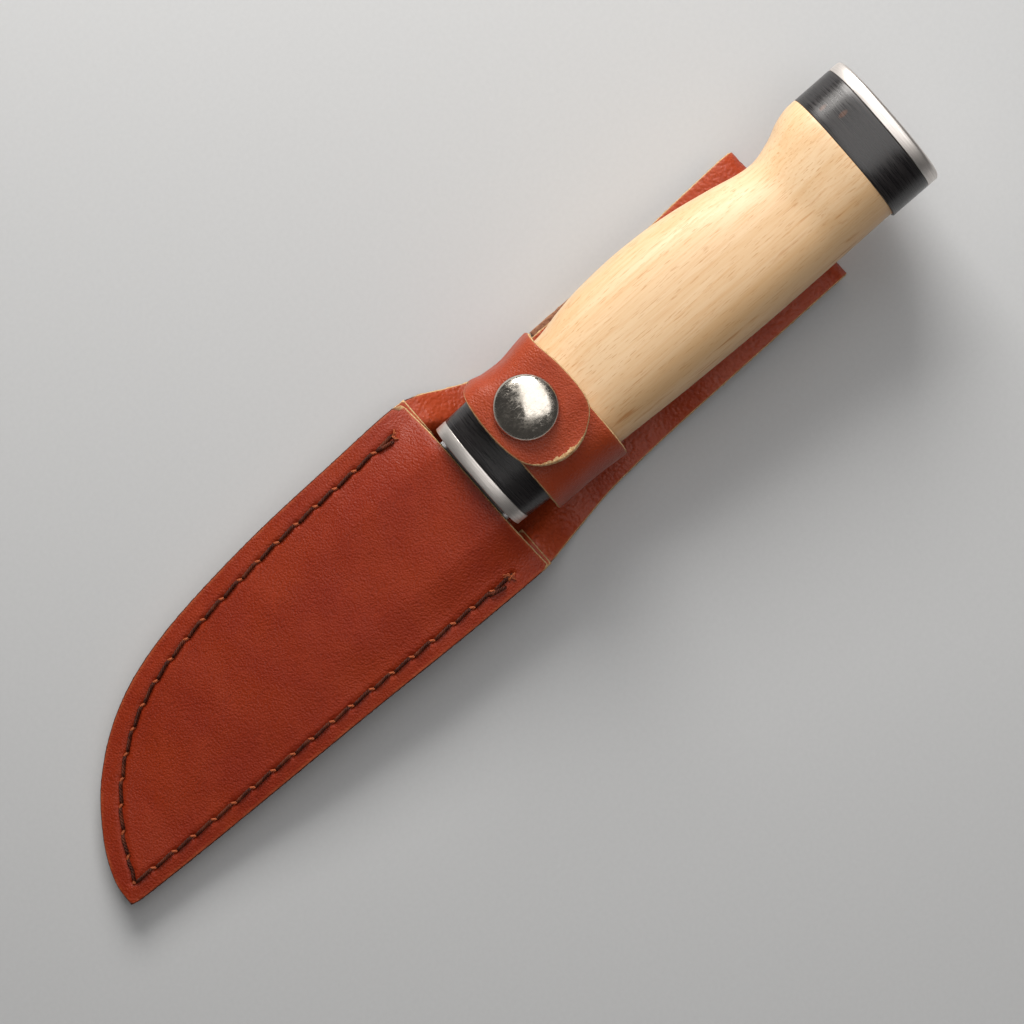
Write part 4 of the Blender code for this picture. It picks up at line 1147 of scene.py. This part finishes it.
def seam_relief(flat):
    """How far a panel's face is drawn in along the stitches, deepest at their holes."""
    gap, run = nearest(SEAM, flat)
    to_hole = np.abs(run[:, None] - SEAM_HOLES).min(axis=1)
    groove = GROOVE_DEPTH * bell(gap, GROOVE_WIDTH) * (0.75 + 0.25 * bell(to_hole, 1.2))
    hole = HOLE_DEPTH * bell(gap, HOLE_WIDTH) * bell(to_hole, HOLE_WIDTH)
    puff = 0.07 * bell(gap - 1.5, 0.7)
    return groove + hole - puff


def seam_rows():
    return [offset_sideways(SEAM, offset) for offset in SEAM_OFFSETS]


def up_to(curve, end, clear=1.2):
    """The part of an edge curve before the mouth, closed with the mouth's own corner."""
    return np.vstack([curve[curve[:, 0] < end[0] - clear], [end]])


def sheath_raw(flat):
    """Burnished dark round the sewn sheath, pale at its mouth and beyond."""
    return smooth((flat[:, 0] + 2.6) / 1.8)


def mouth_sink(flat):
    """The front panel's wear: its belly corner pressed down, and a light wave over its face."""
    corner = np.hypot(flat[:, 0] - MOUTH_BELLY[0], flat[:, 1] - MOUTH_BELLY[1])
    return MOUTH_WEAR * bell(corner, 4.5) + 0.1 * ripple(flat, 26.0, 3) + 0.04 * ripple(flat, 9.0, 4)


def make_front_panel():
    belly = up_to(BELLY_CURVE, MOUTH_BELLY, MOUTH_CORNER)
    belly[-1] = (MOUTH_BELLY[0] - 0.5, MOUTH_BELLY[1] - 0.6)
    spine = up_to(SPINE_CURVE, MOUTH_SPINE)
    mouth = spline([(MOUTH_BELLY[0] - 0.1, MOUTH_BELLY[1] - 1.6), *MOUTH_LINE, MOUTH_SPINE], EDGE_STEP)[:-1]
    ring = np.vstack([belly[::-1], spine[1:], mouth[::-1]])

    def bend(flat, height):
        edge = edge_distance(flat)
        base = front_underside(flat, edge) - mouth_sink(flat)
        return placed(np.column_stack([flat, base + height]), DATUM)

    piece = leather("front_panel", [ring], bend, LEATHER, seam_rows(), relief=seam_relief, raw=sheath_raw)
    finish_piece(piece, MATERIALS["panel"], "sheath_leather", "sheath", "front_panel")


def make_welts():
    """The two strips between the panels; their ends show past the front panel's mouth."""
    rise = LEATHER + LAYER_GAP
    thickness = WELT + STACK_GAP - 2 * LAYER_GAP

    def bend(flat, height):
        base = back_underside(flat, edge_distance(flat)) + rise
        sink = mouth_sink(flat) * smooth((height - 0.5 * thickness) / thickness)
        return placed(np.column_stack([flat, base + height - sink]), DATUM)

    def edges(curve, mouth, width, tip_x):
        outer = up_to(curve, (mouth[0] + WELT_STEP, mouth[1]))
        inner = offset_sideways(outer, width)
        inner = inner[inner[:, 0] > tip_x]
        inner[-1, 0] = outer[-1, 0]
        return outer, inner

    belly, belly_inner = edges(BELLY_CURVE, MOUTH_BELLY, -WELT_WIDTH, WELT_TIP_X)
    spine, spine_inner = edges(SPINE_CURVE, MOUTH_SPINE, WELT_WIDTH, WELT_TIP_X + 5.0)
    tip = SPINE_CURVE[SPINE_CURVE[:, 0] < WELT_TIP_X]
    rings = (
        ("welt_belly", np.vstack([belly[::-1], tip[1:], belly_inner])),
        ("welt_spine", np.vstack([spine[spine[:, 0] > WELT_TIP_X + 0.3], spine_inner[::-1]])),
    )
    for name, ring in rings:
        piece = leather(name, [resampled_ring(ring)], bend, thickness, spacing=WELT_GRID)
        finish_piece(piece, MATERIALS["welt"], "welt_leather", "sheath", name)


def resampled_ring(ring, spacing=0.9):
    """A ring with its long straight runs filled in."""
    closed = np.vstack([ring, ring[:1]])
    pieces = []
    for a, b in zip(closed, closed[1:]):
        steps = max(1, round(float(np.linalg.norm(b - a)) / spacing))
        pieces += [a + (b - a) * k / steps for k in range(steps)]
    return np.array(pieces)


def make_back_panel():
    """The long back piece, folded over at its top end and brought back down as the belt loop."""
    middle = float(floor_height(FOLD_X)) + LEATHER / 2
    radius = (middle - LEATHER / 2) / 2
    centre = middle - radius
    fold_end = FOLD_X + math.pi * radius
    cut_end = fold_end + FOLD_X - TAIL_END_X

    def bend(flat, height):
        """Level before the fold, then half a turn, then back along the table."""
        x, y = flat.T
        skew = FOLD_SKEW * y * smooth((x - FOLD_SKEW_START) / (FOLD_X - FOLD_SKEW_START))
        base = back_underside(flat, edge_distance(flat)) + 0.05 * ripple(flat, 14.0, 8)
        turn = np.clip((x - FOLD_X) / radius, 0.0, math.pi)
        reach = radius + height - LEATHER / 2
        along = np.minimum(x, FOLD_X) - np.maximum(x - fold_end, 0.0)
        thinned = SKIVE * smooth((SKIVE_START_X - along) / (SKIVE_START_X - TAIL_END_X))
        tail = (LEATHER - height) * (1.0 - thinned / LEATHER)
        round_end = np.where(x > FOLD_X, 1.0, 0.0)
        past = np.where(x >= fold_end, tail, centre + reach * np.cos(turn))
        z = np.where(x <= FOLD_X, base + height, past)
        out = along + round_end * reach * np.sin(turn) - skew
        return placed(np.column_stack([out, y, z]), DATUM)

    def relief(flat):
        """The loop's seam in its groove, and creases where the leather bends."""
        seam = bell(flat[:, 0] - (fold_end + FOLD_X - LOOP_SEAM_X), 0.7)
        sunk = 0.5 * seam * smooth((LOOP_SEAM_HALF + 1.2 - np.abs(flat[:, 1])) / 1.5)
        creases = 0.12 * bell(flat[:, 0] - FOLD_X - 3.0, 5.0) * (1 + ripple(flat * (1.0, 0.25), 1.8, 12))
        bent = 0.16 * bell(flat[:, 0] - 4.0, 4.5) * (1 + ripple(flat * (1.0, 0.4), 1.5, 15))
        return sunk + creases + bent

    def raw(flat):
        return smooth((flat[:, 0] - 1.0) / 3.0)

    belly_tail = [(fold_end + TAIL_START, TAIL_BELLY_Y), (cut_end, TAIL_BELLY_Y)]
    spine_tail = [(fold_end + TAIL_START, TAIL_SPINE_Y), (cut_end, TAIL_SPINE_Y)]
    belly = np.vstack([BELLY_CURVE, [(fold_end, BELLY_EDGE[-1][1])], belly_tail])
    spine = np.vstack([SPINE_CURVE[1:], [(fold_end, SPINE_EDGE[-1][1])], spine_tail])
    ring = resampled_ring(np.vstack([spine, belly[::-1]]))
    piece = leather("back_panel", [ring], bend, LEATHER, spacing=1.15, relief=relief, raw=raw, rough=0.09)
    finish_piece(piece, MATERIALS["coarse"], "sheath_leather", "sheath", "back_panel")


def make_seam_threads():
    def front_height(flat):
        edge = edge_distance(flat)
        return front_underside(flat, edge) - mouth_sink(flat) + LEATHER - GROOVE_DEPTH + PLY + LAY

    def back_height(flat):
        return back_underside(flat, edge_distance(flat)) - 0.35 * (PLY + LAY)

    paths = stitches(SEAM, SEAM_HOLES, front_height)
    paths += backstitch(front_height)
    # these loops at the holes are given the painted coppery highlight
    painted_glint = crossings(SEAM, SEAM_HOLES, front_height)
    thread_piece("front_seam_thread", paths, painted_glint=painted_glint, loose=loose_ends(front_height))
    thread_piece("back_seam_thread", stitches(SEAM, SEAM_HOLES, back_height, sign=-1.0), up=-1.0)


def backstitch(height):
    """Second rounds of thread over the first stitch of each end."""
    paths = []
    for side, (start, end) in ((BACKSTITCH, SEAM_HOLES[:2]), (-BACKSTITCH, SEAM_HOLES[-2:])):
        line = offset_sideways(SEAM, side)
        paths += stitches(line, (start + 0.5, end - 0.4), height, crown=0.45, slant=-0.5)
    return paths


def loose_ends(height):
    """Frayed ends of thread fanned out where each row of stitches stops, most on the spine side."""
    rng = np.random.default_rng(9)
    along = np.linspace(0.0, 1.0, 9)
    paths = []
    for hole, past, count in LOOSE_ENDS:
        root = along_path(SEAM, SEAM_HOLES[hole] + past)
        for _ in range(count):
            turn = rng.uniform(0.0, 2 * math.pi) + rng.uniform(-0.9, 0.9) * along
            reach = rng.uniform(0.8, 1.7) * along
            flat = root + np.column_stack([reach * np.cos(turn), reach * np.sin(turn)])
            arch = rng.uniform(0.15, 0.45) * np.sin(math.pi * along) + 0.12
            paths.append(np.column_stack([flat, height(flat) + arch]))
    return paths


def make_loop_thread():
    """Stitches that close the belt loop, above under the handle and below in a groove."""
    line = resampled(np.array([(LOOP_SEAM_X, -LOOP_SEAM_HALF), (LOOP_SEAM_X, LOOP_SEAM_HALF)]), 0.4)
    holes = np.linspace(0.0, 2 * LOOP_SEAM_HALF, 6)

    def above(flat):
        return floor_height(flat[:, 0]) + LEATHER + 0.3

    def below(flat):
        return np.full(len(flat), 0.55)

    paths = stitches(line, holes, above) + stitches(line, holes, below, sign=-1.0, bury=0.7, crown=0.0)
    thread_piece("loop_thread", paths)


def make_strap_thread():
    """Box of stitches under the back panel that anchors the strap."""
    near, far = STRAP_SEAM_X
    half = STRAP_SEAM_HALF
    corners = [(near, -half), (far, -half), (far, half), (near, half), (near, -half)]

    def below(flat):
        return floor_height(flat[:, 0]) - 0.3

    paths = []
    for a, b in zip(corners, corners[1:]):
        line = resampled(np.array([a, b]), 0.4)
        length = run_of(line)[-1]
        paths += stitches(line, np.linspace(0.0, length, max(3, round(length / 5.0) + 1)), below, sign=-1.0)
    thread_piece("strap_thread", paths, up=-1.0)


# ---------------------------------------------------------------- keeper strap and snap


def upright(height):
    """Shift along the tilted knife that keeps the strap upright above its centre line."""
    return np.maximum(height, 0.0) * math.tan(TILT)


def ribbon(line, outward):
    """Bends flat strap points along a cross line; outward is 1 where the grain is on the path's left."""
    path = spline(line, 0.3)
    along = heading(path)
    run = run_of(path)

    def bend(flat, height):
        y, z, ty, tz = along_path(path, flat[:, 1], np.hstack([path, along])).T
        offset = outward * (height - STRAP / 2)
        y, z = y - tz * offset, z + ty * offset
        x = flat[:, 0]
        side = np.sign(y) * smooth(np.abs(y) / FLARE_RISE - 1.0)
        flare = STRAP_FLARE * smooth(x / STRAP_HALF - 0.1) * side
        stand_off = BELLY_FLARE * smooth(-x / 4.0 - 0.8) - BELLY_WAIST * bell(x - 1.0, 4.5)
        flare += np.maximum(side, 0.0) * stand_off
        local = np.column_stack([STRAP_X + x + upright(z), y + flare, z])
        return placed(local, KNIFE)

    return bend, path, run


def snap_ring(path, run):
    """The snap's hole in a strap's flat pattern."""
    above = np.flatnonzero(path[:, 1] > HINGE[1])
    crossing = above[np.argmin(np.abs(path[above, 0] - SNAP_Y))]
    centre = (SNAP_X - STRAP_X - float(upright(path[crossing, 1])), run[crossing])
    angles = np.linspace(0.0, 2 * math.pi, 28, endpoint=False)
    return np.array(centre) + SNAP_HOLE * np.column_stack([np.cos(angles), np.sin(angles)])


def make_strap_outer():
    """The strap from under the handle up its belly side and over to the flap's round end."""
    bend, path, run = ribbon(BASE_LINE + FLAP_LINE, -1.0)
    hinge = run[np.argmin(np.linalg.norm(path - HINGE, axis=1))]
    left = [(-STRAP_HALF, 0.0), (-9.6, hinge - 17.0), (-7.7, hinge - 9.0), (-7.4, hinge - 4.0)]
    left += [(x, hinge + d) for x, d in FLAP_LEFT]
    right = [(x, hinge + d) for x, d in FLAP_RIGHT]
    right += [(STRAP_HALF + 0.2, hinge - 8.0), (STRAP_HALF, 0.0)]
    ring = spline(left + [(x, hinge + d) for x, d in FLAP_TIP] + right, EDGE_STEP)
    ring = resampled_ring(ring)

    def relief(flat):
        """Creases beside the snap, on the butt's side, and soft waves."""
        near_tip = bell(flat[:, 1] - hinge - 26.0, 4.0) * smooth(flat[:, 0] / 4.0)
        creases = 0.1 * near_tip * (1 + ripple(flat * (0.35, 1.0), 1.6, 21))
        return creases + 0.05 * ripple(flat, 8.0, 22)

    def fray(flat):
        """The grain is torn back at the flap's end."""
        x, y = flat.T
        return FRAY + TEAR * bell(x + 3.0, 5.0) * bell(y - hinge - 31.5, 4.5)

    rings = [ring, snap_ring(path, run)]
    piece = leather("strap_outer", rings, bend, STRAP, spacing=0.85, relief=relief, rough=0.08, fray=fray)
    piece.data.materials.append(MATERIALS["strap"])
    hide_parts("strap_flap", "strap_wrap")
    low, high = (placed([(STRAP_X, HINGE[0], height)], KNIFE)[0] * MM for height in (BEND_START, BEND_END))
    tuple(low)
    tuple(high)
    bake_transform(piece)


def make_strap_inner():
    """The strap from under the handle up its spine side and over the top, where the stud sits."""
    bend, path, run = ribbon(INNER_LINE, 1.0)
    length = run[-1]
    corners = [(-STRAP_HALF, 0.0), (STRAP_HALF, 0.0), (STRAP_HALF, length), (-STRAP_HALF, length)]
    rings = [resampled_ring(np.array(corners)), snap_ring(path, run)]

    def relief(flat):
        return 0.05 * ripple(flat, 8.0, 25)

    def fray(flat):
        """More wear where the butt's side of the strap stands off the grip."""
        return FRAY + 0.3 * smooth((flat[:, 0] - 6.0) / 3.0) * bell(flat[:, 1] - 16.0, 5.0)

    piece = leather("strap_inner", rings, bend, STRAP, relief=relief, rough=0.07, fray=fray)
    finish_piece(piece, MATERIALS["strap"], "sheath_leather", "sheath", "strap_wrap")


def make_snap():
    """Cap and socket on the flap, stud and eyelet on the strap under it."""
    place = KNIFE @ Matrix.Translation((SNAP_X, SNAP_Y, 0.0))
    parts = (
        ("stud_eyelet", softened(EYELET_PROFILE, 0.1), "sheath"),
        ("snap_stud", softened(STUD_PROFILE, 0.14), "sheath"),
        ("snap_socket", softened(SOCKET_PROFILE, 0.16), "flap"),
        ("snap_cap", CAP_PROFILE, "flap"),
    )
    for name, outline, body in parts:
        piece = turned(name, outline, place)
        finish_piece(piece, MATERIALS["nickel"], "snap_nickel", body, name)


# ---------------------------------------------------------------- stage


def make_floor():
    """A plain pale floor under the object."""
    bpy.ops.mesh.primitive_plane_add(size=4.0)
    floor = bpy.context.object
    floor.name = "floor"
    floor.data.materials.append(floor_material())
    floor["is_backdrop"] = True


def make_light(name, place, aim, roll, size, power, colour):
    """A soft rectangular light at a place, in metres, facing a point and turned about that line."""
    data = bpy.data.lights.new(name, "AREA")
    data.shape = "RECTANGLE"
    data.size, data.size_y = size
    data.energy = power
    data.color = colour
    light = bpy.data.objects.new(name, data)
    light.location = place
    facing = (Vector(aim) - Vector(place)).to_track_quat("-Z", "Y").to_matrix()
    light.rotation_euler = (facing @ Matrix.Rotation(math.radians(roll), 3, "Z")).to_euler()
    bpy.context.scene.collection.objects.link(light)


def make_stage():
    make_floor()
    for light in LIGHTS:
        make_light(*light)
    world = bpy.data.worlds.new("soft_room")
    world.use_nodes = True
    background = world.node_tree.nodes["Background"]
    background.inputs["Color"].default_value = (1.0, 0.97, 0.95, 1.0)
    background.inputs["Strength"].default_value = ROOM_LIGHT
    bpy.context.scene.world = world
    bpy.context.scene.view_settings.view_transform = "Standard"


def make_camera():
    """Looks straight down on the knife, which lies from the picture's lower left to its upper right."""
    data = bpy.data.cameras.new("camera")
    data.lens, data.sensor_width = CAMERA_LENS
    camera = bpy.data.objects.new("camera", data)
    camera.location = CAMERA_PLACE
    camera.rotation_euler = (0.0, 0.0, math.radians(CAMERA_TURN))
    bpy.context.scene.collection.objects.link(camera)
    bpy.context.scene.camera = camera


def write_sizes():
    """Sets the CAD box and the visual model's box side by side in a table."""
    boxes = {"cad": CAD_BOX, "visual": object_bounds()}
    rows = {name: [list(low), list(high)] for name, (low, high) in boxes.items()}


make_blade()
make_handle()
make_tang_nut()
make_back_panel()
make_welts()
make_front_panel()
make_seam_threads()
make_loop_thread()
make_strap_thread()
make_strap_inner()
make_strap_outer()
make_snap()
make_camera()
make_stage()
write_sizes()
